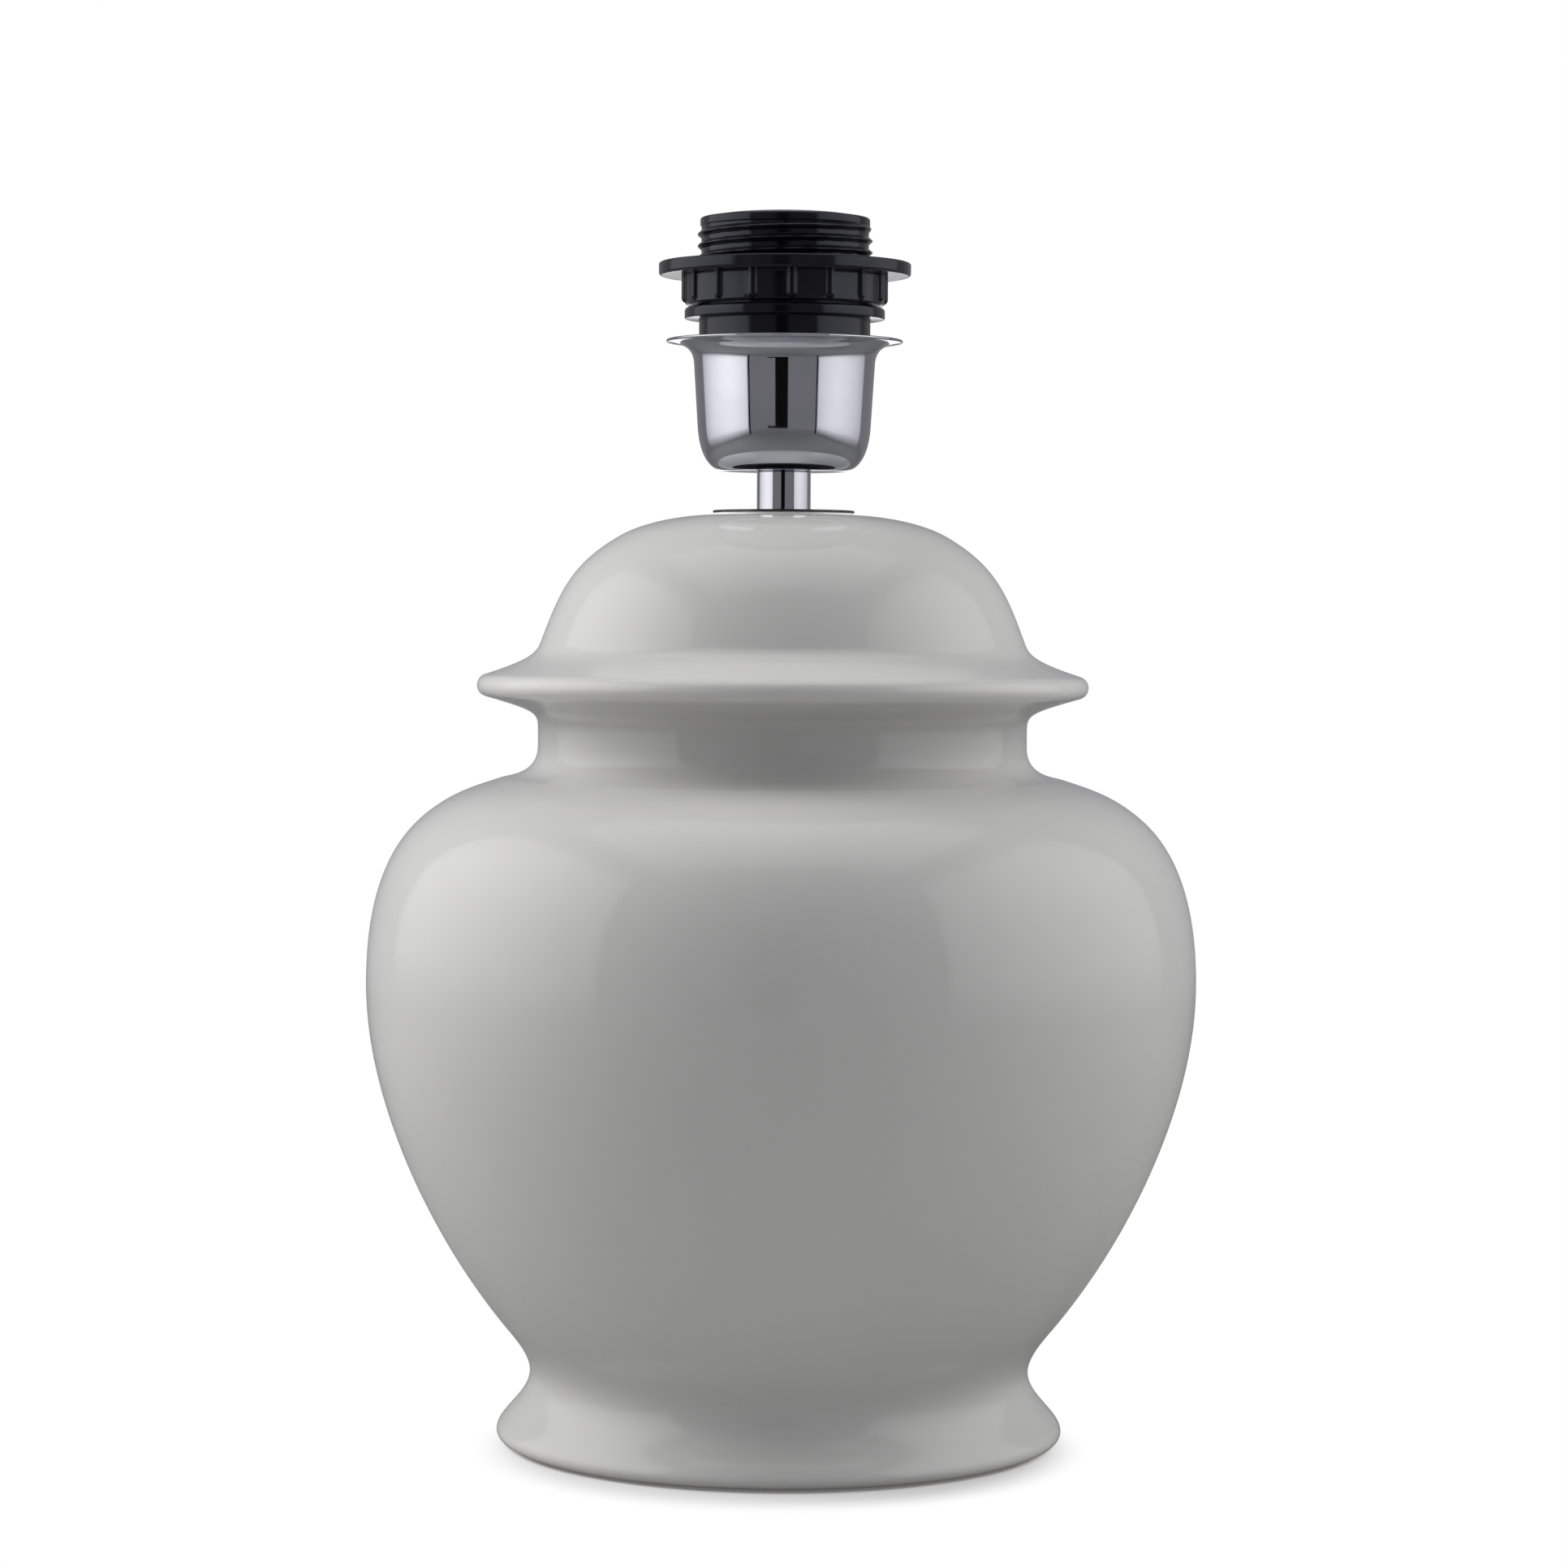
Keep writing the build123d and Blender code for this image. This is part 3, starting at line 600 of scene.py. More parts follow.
specks.links.new(entry.outputs["Share"], chosen.inputs[1])
specks.links.new(near.outputs["Value"], both.inputs[0])
specks.links.new(chosen.outputs["Value"], both.inputs[1])
specks.links.new(both.outputs["Value"], result.inputs["Mask"])


def blended(nodes, links, amount, first, second):
    """Colour mix: first where amount is 0, second where it is 1. Each is a colour or a socket."""
    mix = nodes.new("ShaderNodeMix")
    mix.data_type = "RGBA"
    links.new(amount, mix.inputs["Factor"])
    for label, colour in (("A", first), ("B", second)):
        socket = [s for s in mix.inputs if s.name == label and s.type == "RGBA"][0]
        if isinstance(colour, tuple):
            socket.default_value = (*colour, 1)
        else:
            links.new(colour, socket)
    return [s for s in mix.outputs if s.type == "RGBA"][0]


def bumped(nodes, links, shader, height, distance):
    """Feeds a height between 0 and 1 to the shader's normal, where 1 is distance metres high."""
    bump = nodes.new("ShaderNodeBump")
    bump.inputs["Distance"].default_value = distance
    links.new(height, bump.inputs["Height"])
    links.new(bump.outputs["Normal"], shader.inputs["Normal"])


glaze, nodes, links, shader = new_material("grey_gloss_glaze")
glaze_colour = (0.462, 0.461, 0.452)
glaze_pooled = (0.446, 0.445, 0.437)
glaze_over_edge = (0.49, 0.487, 0.478)
clay_colour = (0.62, 0.55, 0.46)
speck_colour = (0.10, 0.08, 0.07)
clouds = placed(nodes, mottle, Scale=14.0, Detail=2.0)
colour = blended(nodes, links, clouds.outputs["Value"], glaze_pooled, glaze_colour)
thin_glaze = nodes.new("ShaderNodeAttribute")
thin_glaze.attribute_name = "glaze_thin"
colour = blended(nodes, links, thin_glaze.outputs["Fac"], colour, glaze_over_edge)
pinholes = placed(nodes, specks, Scale=55.0, Size=0.016, Share=0.16)
colour = blended(nodes, links, pinholes.outputs["Mask"], colour, speck_colour)
bare_clay = nodes.new("ShaderNodeAttribute")
bare_clay.attribute_name = "bare_clay"
colour = blended(nodes, links, bare_clay.outputs["Fac"], colour, clay_colour)
links.new(colour, shader.inputs["Base Color"])
gloss = placed(nodes, mottle, Scale=30.0, Detail=4.0, Low=0.06, High=0.09)
dulled = nodes.new("ShaderNodeMath")
dulled.operation = "MULTIPLY_ADD"
dulled.inputs[1].default_value = 0.75
links.new(bare_clay.outputs["Fac"], dulled.inputs[0])
links.new(gloss.outputs["Value"], dulled.inputs[2])
links.new(dulled.outputs["Value"], shader.inputs["Roughness"])
shader.inputs["IOR"].default_value = 1.40
orange_peel = placed(nodes, mottle, Scale=330.0, Detail=1.0)
bumped(nodes, links, shader, orange_peel.outputs["Value"], 0.000006)
jar.data.materials.clear()
jar.data.materials.append(glaze)
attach(jar, "lamp")
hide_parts("jar_body")

# ---------------------------------------------------------------------------
# The felt disc: thin needled black wool felt, die cut and glued under the foot, so
# the jar doesn't mark the table.
# ---------------------------------------------------------------------------
felt_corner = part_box("base_felt")[1]
felt_radius = felt_corner.x / MM
felt_top = felt_corner.z / MM
felt_rounding = 0.15


def felt_edge(angle, radius, height):
    """The cut edge of felt is never quite even."""
    if radius < felt_radius - 1:
        return 0.0
    place = Vector((math.cos(angle), math.sin(angle), 0.3)) * 25
    return -0.18 - 0.18 * noise.noise(place)


felt = turned(
    "felt_disc",
    [(0, 0), (felt_radius - 8, 0), (felt_radius - felt_rounding, 0), (felt_radius, felt_rounding)]
    + [(felt_radius, felt_top - felt_rounding), (felt_radius - felt_rounding, felt_top), (0, felt_top)],
    columns=160,
    lift=felt_edge,
)


def clouded(nodes, links, shader, scale, detail, dark, light):
    """Gives the shader a cloudy colour between two tones, and returns the clouds for other uses."""
    clouds = placed(nodes, mottle, Scale=scale, Detail=detail).outputs["Value"]
    links.new(blended(nodes, links, clouds, dark, light), shader.inputs["Base Color"])
    return clouds


felt_black, nodes, links, shader = new_material("needled_felt")
fibres = clouded(nodes, links, shader, 900.0, 6.0, (0.012, 0.012, 0.013), (0.05, 0.049, 0.048))
shader.inputs["Roughness"].default_value = 0.95
shader.inputs["Sheen Weight"].default_value = 0.35
bumped(nodes, links, shader, fibres, 0.0003)
felt.data.materials.append(felt_black)
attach(felt, "lamp")
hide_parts("base_felt")

# ---------------------------------------------------------------------------
# The cord grommet: a soft black rubber ring pushed into the hole at the back of the
# waist. Its flange sits on the flat and its lip snaps behind the wall.
# ---------------------------------------------------------------------------
grommet_low, grommet_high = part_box("cord_grommet")
grommet_outer = grommet_high.y / MM
grommet_inner = grommet_low.y / MM
flange_radius = grommet_high.x / MM
bore_radius = 3.3
body_radius = 4.6
lip_radius = 5.4
lip_outer = grommet_inner + 1.4
grommet = turned(
    "rubber_grommet",
    [(bore_radius + 0.5, grommet_inner), (lip_radius - 0.9, grommet_inner)]
    + arc((lip_radius - 0.5, grommet_inner + 0.5), 0.5, -90, 0, 5)
    + [(lip_radius, lip_outer - 0.2), (lip_radius - 0.2, lip_outer), (body_radius, lip_outer)]
    + [(body_radius, flat_depth), (flange_radius - 0.2, flat_depth), (flange_radius, flat_depth + 0.2)]
    + arc((flange_radius - 0.9, grommet_outer - 0.9), 0.9, 0, 90, 8)
    + [(flange_radius - 0.9, grommet_outer), (bore_radius + 0.6, grommet_outer)]
    + arc((bore_radius + 0.6, grommet_outer - 0.6), 0.6, 90, 180, 6)
    + [(bore_radius, grommet_inner + 0.5)],
    columns=96,
)
laid_back(grommet, waist_height)


def unevenly_dull(nodes, links, shader, scale, detail, low, high):
    """Lets the shader's roughness drift between two values over the surface."""
    drift = placed(nodes, mottle, Scale=scale, Detail=detail, Low=low, High=high)
    links.new(drift.outputs["Value"], shader.inputs["Roughness"])


rubber, nodes, links, shader = new_material("black_rubber")
bloom = clouded(nodes, links, shader, 260.0, 5.0, (0.013, 0.013, 0.013), (0.03, 0.029, 0.028))
unevenly_dull(nodes, links, shader, 400.0, 3.0, 0.5, 0.7)
bumped(nodes, links, shader, bloom, 0.00002)
grommet.data.materials.append(rubber)
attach(grommet, "lamp")
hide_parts("cord_grommet")

# ---------------------------------------------------------------------------
# The seat on the dome: a thin gasket of milky silicone on the glaze, and a blackened
# steel washer over it that carries the tube.
# ---------------------------------------------------------------------------
gasket_low, gasket_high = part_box("seat_gasket")
gasket_radius = gasket_high.x / MM
thread_clear_radius = 5.15
gasket = turned(
    "seat_gasket_sheet",
    [(thread_clear_radius, gasket_low.z / MM), (gasket_radius, gasket_low.z / MM)]
    + [(gasket_radius, gasket_high.z / MM), (thread_clear_radius, gasket_high.z / MM)],
    columns=128,
)
silicone, nodes, links, shader = new_material("milky_silicone")
cloudy = clouded(nodes, links, shader, 180.0, 3.0, (0.80, 0.80, 0.78), (0.90, 0.90, 0.88))
shader.inputs["Roughness"].default_value = 0.45
shader.inputs["Subsurface Weight"].default_value = 0.3
shader.inputs["Subsurface Radius"].default_value = (0.001, 0.001, 0.001)
bumped(nodes, links, shader, cloudy, 0.00001)
gasket.data.materials.append(silicone)
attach(gasket, "lamp")
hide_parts("seat_gasket")

# fine marks of turning and handling: Lines run round the lamp's axis, Height is for bump
marks, entry, result = node_group(
    "fine_marks", {"Lines": 2600.0, "Reach": 1.0}, ["Height", "Mask"]
)
place = marks.nodes.new("ShaderNodeTexCoord")
squeeze = marks.nodes.new("ShaderNodeMapping")
squeeze.inputs["Scale"].default_value = (0.02, 0.02, 1.0)
lines = marks.nodes.new("ShaderNodeTexNoise")
lines.inputs["Detail"].default_value = 2.0
patches = marks.nodes.new("ShaderNodeTexNoise")
patches.inputs["Scale"].default_value = 120.0
patches.inputs["Detail"].default_value = 4.0
patch_range = marks.nodes.new("ShaderNodeMapRange")
patch_range.inputs["From Min"].default_value = 0.4
patch_range.inputs["From Max"].default_value = 0.7
masked = marks.nodes.new("ShaderNodeMath")
masked.operation = "MULTIPLY"
marks.links.new(place.outputs["Object"], squeeze.inputs["Vector"])
marks.links.new(squeeze.outputs["Vector"], lines.inputs["Vector"])
marks.links.new(entry.outputs["Lines"], lines.inputs["Scale"])
marks.links.new(place.outputs["Object"], patches.inputs["Vector"])
marks.links.new(patches.outputs["Fac"], patch_range.inputs["Value"])
marks.links.new(entry.outputs["Reach"], patch_range.inputs["To Max"])
marks.links.new(lines.outputs["Fac"], masked.inputs[0])
marks.links.new(patch_range.outputs["Result"], masked.inputs[1])
marks.links.new(lines.outputs["Fac"], result.inputs["Height"])
marks.links.new(masked.outputs["Value"], result.inputs["Mask"])

washer_low, washer_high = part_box("seat_washer")
washer_radius = washer_high.x / MM
washer_bottom, washer_top = washer_low.z / MM, washer_high.z / MM
washer_rounding = 0.3
washer = turned(
    "steel_seat_washer",
    [(thread_clear_radius, washer_bottom), (washer_radius - 0.25, washer_bottom)]
    + [(washer_radius, washer_bottom + 0.2), (washer_radius, washer_top - washer_rounding)]
    + arc((washer_radius - washer_rounding, washer_top - washer_rounding), washer_rounding, 0, 90, 5)
    + [(washer_radius - washer_rounding, washer_top), (thread_clear_radius, washer_top)],
    columns=160,
)
blackened, nodes, links, shader = new_material("blackened_steel")
clouded(nodes, links, shader, 420.0, 4.0, (0.055, 0.055, 0.06), (0.10, 0.10, 0.105))
shader.inputs["Metallic"].default_value = 1.0
unevenly_dull(nodes, links, shader, 300.0, 3.0, 0.3, 0.45)
turning = placed(nodes, marks, Lines=2200.0, Reach=1.0)
bumped(nodes, links, shader, turning.outputs["Height"], 0.000003)
washer.data.materials.append(blackened)
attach(washer, "lamp")
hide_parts("seat_washer")

# ---------------------------------------------------------------------------
# The neck tube: a short spacer cut from drawn tube, deburred and chromed, slid over
# the threaded tube between the washer and the cup.
# ---------------------------------------------------------------------------
tube_low, tube_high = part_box("neck_tube")
tube_radius = tube_high.x / MM
tube_bottom, tube_top = tube_low.z / MM, tube_high.z / MM
tube_chamfer = 0.25
tube = turned(
    "chrome_neck_tube",
    [(thread_clear_radius, tube_bottom), (tube_radius - tube_chamfer, tube_bottom)]
    + [(tube_radius, tube_bottom + tube_chamfer), (tube_radius, (tube_bottom + tube_top) / 2)]
    + [(tube_radius, tube_top - tube_chamfer), (tube_radius - tube_chamfer, tube_top)]
    + [(thread_clear_radius, tube_top)],
    columns=96,
)
chrome, nodes, links, shader = new_material("bright_chrome")
polish = placed(nodes, marks, Lines=2600.0, Reach=1.0)
clouded(nodes, links, shader, 90.0, 4.0, (0.475, 0.485, 0.525), (0.515, 0.525, 0.56))
shader.inputs["Metallic"].default_value = 1.0
satin = nodes.new("ShaderNodeMath")
satin.operation = "MULTIPLY_ADD"
satin.inputs[1].default_value = 0.06
satin.inputs[2].default_value = 0.045
links.new(polish.outputs["Mask"], satin.inputs[0])
links.new(satin.outputs["Value"], shader.inputs["Roughness"])
bumped(nodes, links, shader, polish.outputs["Height"], 0.000001)
tube.data.materials.append(chrome)
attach(tube, "lamp")
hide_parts("neck_tube")

# ---------------------------------------------------------------------------
# The cup: drawn from 0.65 mm sheet, polished and chromed. Its wall opens by a few
# degrees and its lip is turned out flat; it hides the lampholder's cap.
# ---------------------------------------------------------------------------
cup_low, cup_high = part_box("metal_cup")
cup_bottom = cup_low.z / MM
cup_lip_radius = cup_high.x / MM
cup_sheet = 0.65
cup_lip_top = cup_high.z / MM
cup_lip_under = cup_lip_top - cup_sheet
cup_floor_radius = 13.2
wall_bottom = (19.75, cup_bottom + 10.0)
wall_top = (20.65, cup_bottom + 24.5)
wall_angle = math.degrees(math.atan2(wall_top[1] - wall_bottom[1], wall_top[0] - wall_bottom[0]))
inner_top = (wall_top[0] - cup_sheet, wall_top[1])
inner_bottom = (wall_bottom[0] - cup_sheet, wall_bottom[1])
lip_middle = (cup_lip_radius - cup_sheet / 2, cup_lip_under + cup_sheet / 2)
cup = turned(
    "drawn_chrome_cup",
    [(thread_clear_radius, cup_bottom), (9.0, cup_bottom)]
    + flow((cup_floor_radius, cup_bottom), 0, 4.9, wall_bottom, wall_angle, 4.2, 28)
    + [
        tuple(a + (b - a) * step / 6 for a, b in zip(wall_bottom, wall_top))
        for step in range(6)
    ]
    + flow(wall_top, wall_angle, 3.7, (cup_lip_radius - cup_sheet / 2, cup_lip_under), 4, 3.4, 24)
    + arc(lip_middle, cup_sheet / 2, -90, 90, 6)
    + flow(
        (cup_lip_radius - cup_sheet / 2, cup_lip_top),
        184,
        3.8,
        inner_top,
        wall_angle - 180,
        4.2,
        20,
    )
    + [inner_top]
    + flow(
        inner_bottom,
        wall_angle - 180,
        3.8,
        (cup_floor_radius, cup_bottom + cup_sheet),
        180,
        4.4,
        14,
    )
    + [(cup_floor_radius, cup_bottom + cup_sheet)]
    + [(thread_clear_radius, cup_bottom + cup_sheet)],
    columns=224,
)
cup.data.materials.append(chrome)
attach(cup, "lamp")
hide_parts("metal_cup")

# ---------------------------------------------------------------------------
# The lampholder's skirt: gloss black moulded plastic. A plain cylinder drops into the
# cup, a collar stops the shade ring, and the barrel has a coarse right-hand thread
# that runs out just under a plain rim.
# ---------------------------------------------------------------------------
skirt_low, skirt_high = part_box("holder_skirt")
skirt_bottom = skirt_low.z / MM
rim_top = skirt_high.z / MM
collar_radius = skirt_high.x / MM
skirt_radius = 19.55
skirt_bore_radius = 17.3
skirt_shoulder = 252.4
barrel_bore_radius = 16.2
collar_bottom, collar_top = 256.6, 259.2
barrel_root_radius = 19.1
thread_height = 0.85
thread_pitch = 2.65
thread_start = 261.2
thread_turns = 6.0
thread_half_width = 0.85
rim_radius = 19.35
rim_bottom = 277.9
rim_shoulder = 279.07
rim_rounding = 0.5
rim_facing = 81.0
rim_hole_radius = 14.3
lip_underside = 277.6
row_spacing = 0.13


def barrel_thread(angle, radius, height):
    """The V-shaped ridge wound round the barrel, which fades in and out over a tenth of a turn."""
    if abs(radius - barrel_root_radius) > 1e-6:
        return 0.0
    wound = angle / (2 * math.pi)
    turn = (height - thread_start) / thread_pitch
    nearest = round(turn - wound)
    along = nearest + wound
    fade = min(1.0, max(0.0, along / 0.1), max(0.0, (thread_turns + 0.08 - along) / 0.14))
    away = abs(turn - wound - nearest) * thread_pitch
    slope = max(0.0, 1 - max(0.0, away - 0.1) / (thread_half_width - 0.1))
    return thread_height * fade * slope


barrel_rows = int((rim_bottom - 0.15 - collar_top) / row_spacing)
skirt = turned(
    "lampholder_skirt",
    [(skirt_bore_radius, skirt_bottom), (skirt_radius - 0.3, skirt_bottom)]
    + [(skirt_radius, skirt_bottom + 0.3), (skirt_radius, 250.0), (skirt_radius, collar_bottom - 0.25)]
    + arc((skirt_radius + 0.25, collar_bottom - 0.25), 0.25, 180, 90, 4)
    + [(skirt_radius + 0.25, collar_bottom)]
    + arc((collar_radius - 0.3, collar_bottom + 0.3), 0.3, -90, 0, 5)
    + [(collar_radius, collar_bottom + 0.3), (collar_radius, collar_top - 1.0)]
    + arc((collar_radius - 0.9, collar_top - 0.9), 0.9, 8, 82, 6)
    + [(collar_radius - 0.9, collar_top), (barrel_root_radius + 0.2, collar_top)]
    + [
        (barrel_root_radius, collar_top + 0.05 + row_spacing * row)
        for row in range(barrel_rows)
    ]
    + arc((rim_radius - 0.15, rim_bottom), 0.15, -60, 0, 3)
    + [(rim_radius, rim_bottom)]
    + arc((rim_radius - rim_rounding, rim_shoulder), rim_rounding, 0, rim_facing, 7)
    + arc((rim_radius - rim_rounding, rim_shoulder), rim_rounding, rim_facing, 90, 1)
    + arc((rim_hole_radius + rim_rounding, rim_top - rim_rounding), rim_rounding, rim_facing, 180, 7)
    + [(rim_hole_radius, rim_top - rim_rounding), (rim_hole_radius, lip_underside)]
    + [(barrel_bore_radius, lip_underside), (barrel_bore_radius, skirt_shoulder)]
    + [(skirt_bore_radius, skirt_shoulder)],
    columns=200,
    lift=barrel_thread,
)
black_plastic, nodes, links, shader = new_material("gloss_black_plastic")
tint = placed(nodes, mottle, Scale=140.0, Detail=4.0)
# the faint blue in these two base colours is painted light: it stands in for the cool colour of the
# studio light on the plastic
colour = blended(
    nodes, links, tint.outputs["Value"], (0.004, 0.004, 0.005), (0.007, 0.007, 0.009)
)
dust = placed(nodes, specks, Scale=420.0, Size=0.07, Share=0.05)
colour = blended(nodes, links, dust.outputs["Mask"], colour, (0.06, 0.058, 0.055))
links.new(colour, shader.inputs["Base Color"])
unevenly_dull(nodes, links, shader, 200.0, 5.0, 0.11, 0.18)
shader.inputs["IOR"].default_value = 1.39
# the bluish specular tint is painted light too: it colours the plastic's reflections as the cool light
# would
shader.inputs["Specular Tint"].default_value = (0.82, 0.84, 1.0, 1)
moulded = placed(nodes, mottle, Scale=1500.0, Detail=2.0)
bumped(nodes, links, shader, moulded.outputs["Value"], 0.0000035)
skirt.data.materials.append(black_plastic)
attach(skirt, "lamp")
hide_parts("holder_skirt")

# ---------------------------------------------------------------------------
# The shade ring: one black moulding, a flange over a skirt with sixteen grip ribs
# that end round, screwed on the barrel. A lampshade rests on its flange.
# ---------------------------------------------------------------------------
ring_low, ring_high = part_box("shade_ring")
ring_bottom, flange_top = ring_low.z / MM, ring_high.z / MM
ring_flange_radius = ring_high.x / MM
flange_bottom = flange_top - 3.0
ring_skirt_radius = 22.7
ring_bore_radius = 20.03
rib_count = 16
rib_radius = 1.15
rib_centre_radius = 22.45
rib_end_gap = 0.3
rib_end = ring_bottom + rib_end_gap + rib_radius
rib_first_angle = math.radians(-86.0)
rib_step = 2 * math.pi / rib_count
base_rounding = 0.3
corner_rounding = 0.5

# a rib's section is a round of rib_radius, met on each side by a hollow of base_rounding
sunk = ring_skirt_radius - rib_centre_radius
base_reach = math.sqrt((rib_radius + base_rounding) ** 2 - (base_rounding + sunk) ** 2)
round_reach = base_reach * rib_radius / (rib_radius + base_rounding)


def grip_ribs(angle, radius, height):
    """The sixteen half-round ribs, each with a ball end near the ring's lower edge."""
    if radius < ring_skirt_radius - 0.45 or radius > ring_skirt_radius + 0.55:
        return 0.0
    off = (angle - rib_first_angle + rib_step / 2) % rib_step - rib_step / 2
    away = math.hypot(rib_centre_radius * math.sin(off), max(0.0, rib_end - height))
    if away >= base_reach:
        return 0.0
    if away < round_reach:
        rise = math.sqrt(rib_radius**2 - away**2) - sunk
    else:
        rise = base_rounding - math.sqrt(base_rounding**2 - (base_reach - away) ** 2)
    return max(0.0, rise - max(0.0, radius - ring_skirt_radius))


# places across half a rib, in millimetres, closer together where its section turns faster
half_rib = [0.18, 0.36, 0.54, 0.7, 0.82, 0.91, 0.98, 1.03, 1.07, 1.11, 1.16, 1.23, base_reach]
rib_columns = []
for index in range(rib_count):
    middle = rib_first_angle + index * rib_step
    for place in [-x for x in reversed(half_rib)] + [0.0] + half_rib:
        rib_columns.append(middle + place / rib_centre_radius)
    gap = rib_step - 2 * base_reach / rib_centre_radius
    for step in (0.25, 0.5, 0.75):
        rib_columns.append(middle + base_reach / rib_centre_radius + gap * step)
ball_rows = [(ring_skirt_radius, rib_end - x) for x in reversed([0.0] + half_rib[:8])]
ring = turned(
    "shade_ring_moulding",
    [(ring_bore_radius + 0.3, ring_bottom), (ring_skirt_radius - 0.4, ring_bottom)]
    + arc((ring_skirt_radius - 0.4, ring_bottom + 0.4), 0.4, -80, 0, 8)
    + ball_rows
    + [(ring_skirt_radius, flange_bottom - 2.0)]
    + arc(
        (ring_skirt_radius + corner_rounding, flange_bottom - corner_rounding),
        corner_rounding,
        180,
        90,
        7,
    )
    + [(ring_skirt_radius + corner_rounding, flange_bottom)]
    + [(ring_skirt_radius + 1.2, flange_bottom), (ring_flange_radius - 1.6, flange_bottom)]
    + arc((ring_flange_radius - 0.7, flange_bottom + 0.7), 0.7, -90, 0, 7)
    + [(ring_flange_radius, flange_bottom + 0.7), (ring_flange_radius, flange_top - 0.5)]
    + arc((ring_flange_radius - 0.5, flange_top - 0.5), 0.5, 0, 90, 6)
    + [(ring_flange_radius - 0.5, flange_top), (ring_bore_radius + 0.5, flange_top)]
    + [(ring_bore_radius, flange_top - 0.5), (ring_bore_radius, ring_bottom + 0.3)],
    columns=rib_columns,
    lift=grip_ribs,
)
ring.data.materials.append(black_plastic)
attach(ring, "ring")
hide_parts("shade_ring")

# ---------------------------------------------------------------------------
# The screw shell: thin nickel-plated sheet with the round E27 thread rolled into its
# wall and a flat floor that two rivets hold on the ceramic insert.
# ---------------------------------------------------------------------------
shell_low, shell_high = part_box("screw_shell")
shell_bottom, shell_top = shell_low.z / MM, shell_high.z / MM
shell_sheet = 0.35
shell_mean_radius = 12.78
shell_floor_hole = 8.8
rolled_pitch = 3.629
rolled_depth = 0.5
shell_rows = 96


def rolled_thread(angle, radius, height):
    """The round thread of a lamp's cap, in both faces of the sheet; it stops short of the floor."""
    if radius < shell_mean_radius - 0.6:
        return 0.0
    start = min(1.0, max(0.0, (height - shell_bottom - 1.2) / 1.5))
    wound = (height - shell_bottom) / rolled_pitch - angle / (2 * math.pi)
    return start * rolled_depth * math.cos(2 * math.pi * wound)


def shell_wall(radius, low, high):
    """Rows up one face of the shell's wall."""
    return [(radius, low + (high - low) * row / shell_rows) for row in range(shell_rows + 1)]


shell_inner = shell_mean_radius - shell_sheet / 2
shell_outer = shell_mean_radius + shell_sheet / 2
shell = turned(
    "rolled_screw_shell",
    [(shell_floor_hole, shell_bottom), (shell_outer - 0.6, shell_bottom)]
    + shell_wall(shell_outer, shell_bottom + 0.6, shell_top)
    + list(reversed(shell_wall(shell_inner, shell_bottom + 0.8, shell_top)))
    + [(shell_inner - 0.4, shell_bottom + shell_sheet), (shell_floor_hole, shell_bottom + shell_sheet)],
    columns=160,
    lift=rolled_thread,
)
nickel, nodes, links, shader = new_material("nickel_plate")
rolled = placed(nodes, marks, Lines=1500.0, Reach=1.0)
clouded(nodes, links, shader, 160.0, 5.0, (0.50, 0.47, 0.42), (0.64, 0.61, 0.56))
shader.inputs["Metallic"].default_value = 1.0
unevenly_dull(nodes, links, shader, 240.0, 4.0, 0.2, 0.34)
bumped(nodes, links, shader, rolled.outputs["Height"], 0.000004)
shell.data.materials.append(nickel)
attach(shell, "lamp")
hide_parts("screw_shell")

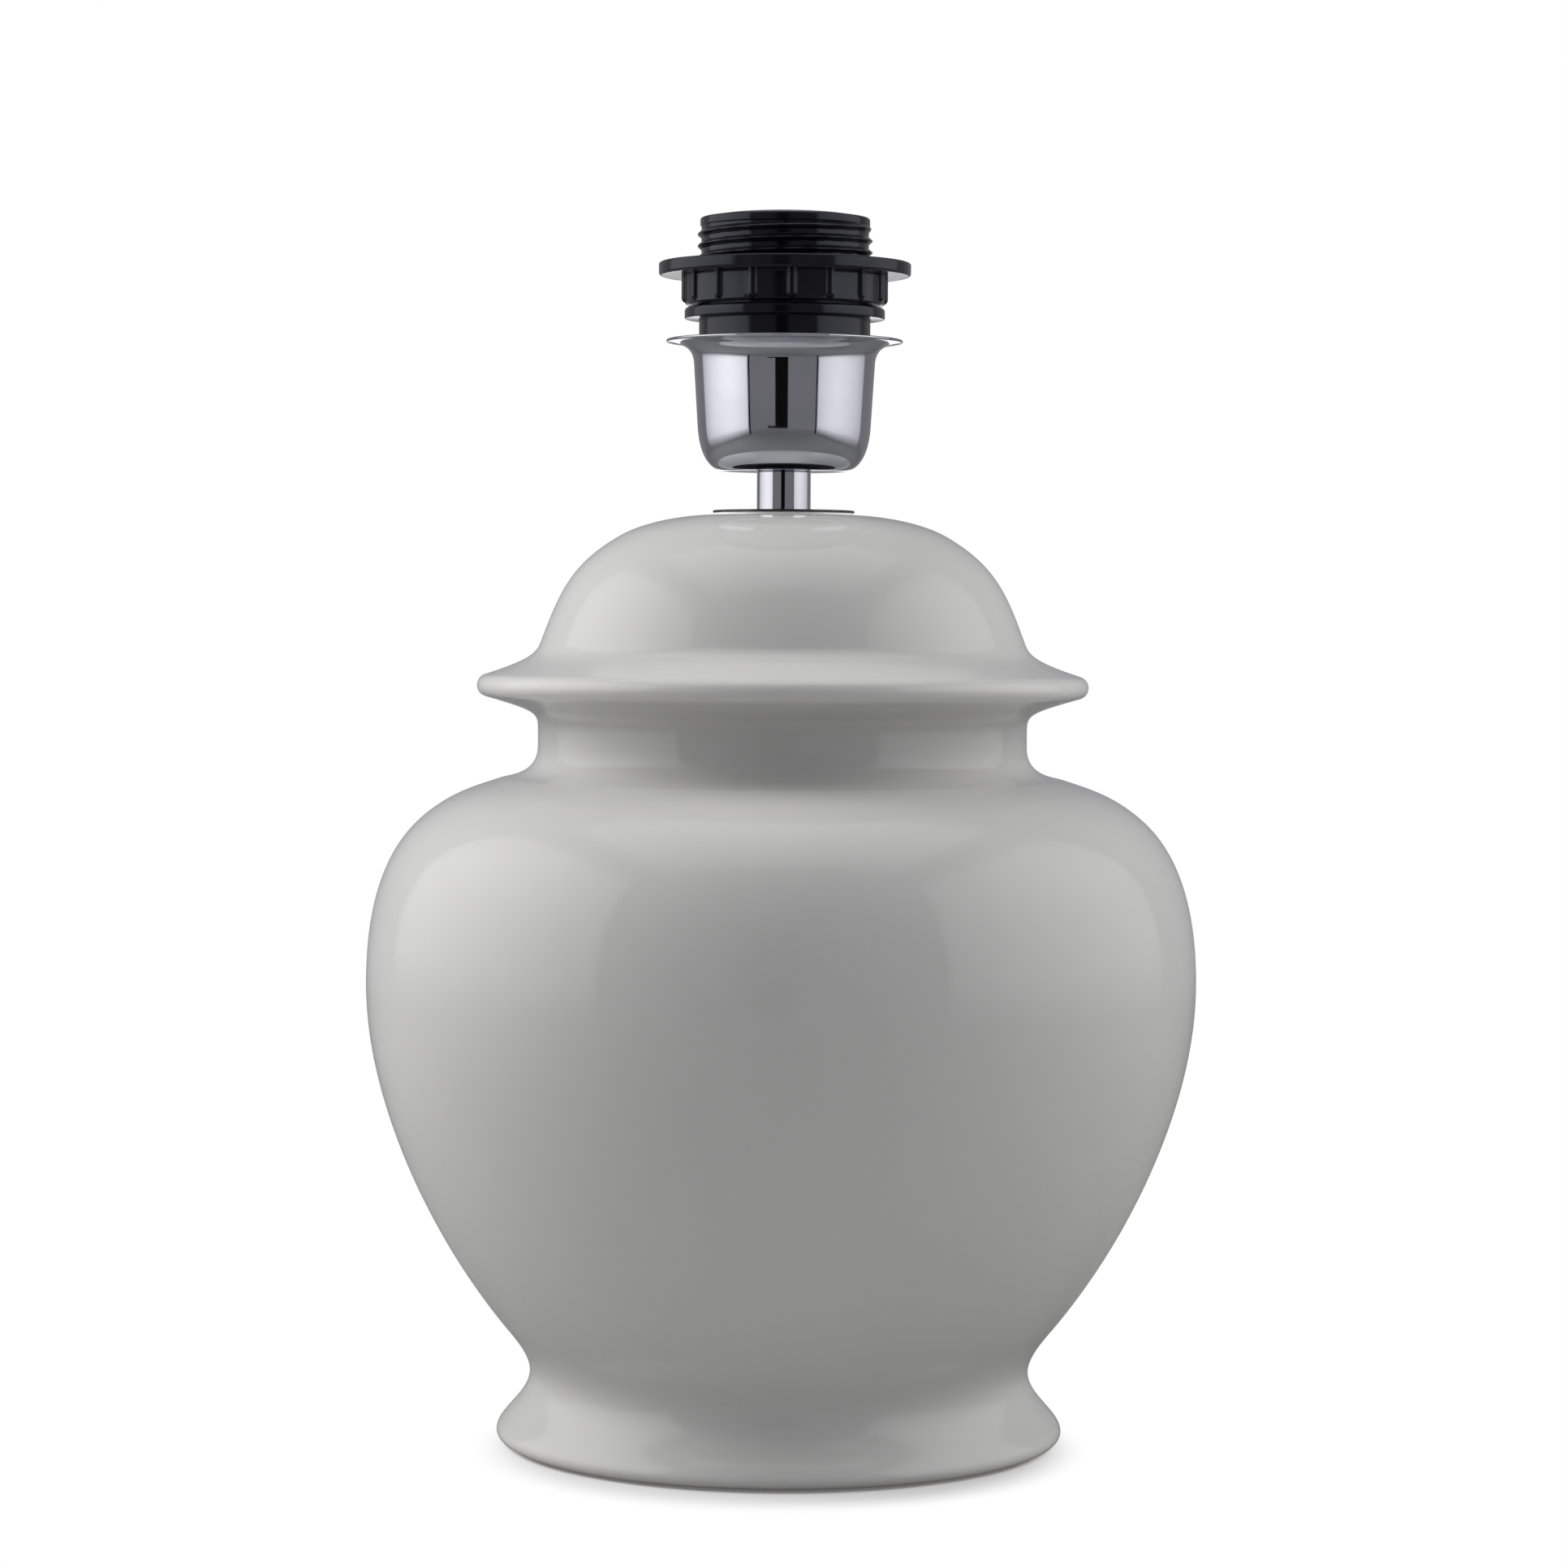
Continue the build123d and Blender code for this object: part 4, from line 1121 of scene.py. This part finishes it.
# ---------------------------------------------------------------------------
# Brass inside the socket: the sprung strip that meets the lamp's centre contact, its
# rivet, the two shell rivets and the two terminal clamps.
# ---------------------------------------------------------------------------
brass, nodes, links, shader = new_material("pressed_brass")
clouded(nodes, links, shader, 320.0, 6.0, (0.60, 0.40, 0.15), (0.82, 0.60, 0.28))
shader.inputs["Metallic"].default_value = 1.0
unevenly_dull(nodes, links, shader, 500.0, 4.0, 0.18, 0.36)
pressed = placed(nodes, mottle, Scale=1200.0, Detail=3.0)
bumped(nodes, links, shader, pressed.outputs["Value"], 0.00001)


def refinished(node, material):
    """Gives a carried-over CAD node its real finish."""
    cad_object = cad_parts[node]
    cad_object.data.materials.clear()
    cad_object.data.materials.append(material)


for node in ("centre_contact", "contact_rivet", "shell_rivets", "terminal_clamps"):
    refinished(node, brass)

# ---------------------------------------------------------------------------
# The ceramic insert: pressed steatite, fired unglazed, slightly grainy and off-white.
# ---------------------------------------------------------------------------
steatite, nodes, links, shader = new_material("pressed_steatite")
grain = clouded(nodes, links, shader, 700.0, 6.0, (0.66, 0.62, 0.54), (0.78, 0.75, 0.68))
shader.inputs["Roughness"].default_value = 0.72
bumped(nodes, links, shader, grain, 0.00003)
refinished("terminal_block", steatite)

# ---------------------------------------------------------------------------
# Zinc-plated steel: the threaded tube, its washers, nut and grub screw, and the
# terminal screws, all barrel plated and slightly dull.
# ---------------------------------------------------------------------------
zinc, nodes, links, shader = new_material("zinc_plate")
clouded(nodes, links, shader, 300.0, 5.0, (0.42, 0.42, 0.40), (0.60, 0.60, 0.57))
shader.inputs["Metallic"].default_value = 1.0
unevenly_dull(nodes, links, shader, 380.0, 4.0, 0.3, 0.48)
turning = placed(nodes, marks, Lines=1800.0, Reach=1.0)
bumped(nodes, links, shader, turning.outputs["Height"], 0.000008)
for node in (
    "threaded_nipple",
    "inner_washer",
    "lock_washer",
    "clamp_nut",
    "cup_lock_washer",
    "cap_grub_screw",
    "terminal_screws",
):
    refinished(node, zinc)

# ---------------------------------------------------------------------------
# The gasket under the dome: the same black rubber as the grommet, stamped from sheet,
# which spreads the nut's clamping force over the glaze.
# ---------------------------------------------------------------------------
refinished("inner_gasket", rubber)

# ---------------------------------------------------------------------------
# The lampholder's cap: the same black moulding plastic as the skirt, screwed on the
# threaded tube inside the cup, where a grub screw locks it.
# ---------------------------------------------------------------------------
refinished("holder_cap", black_plastic)
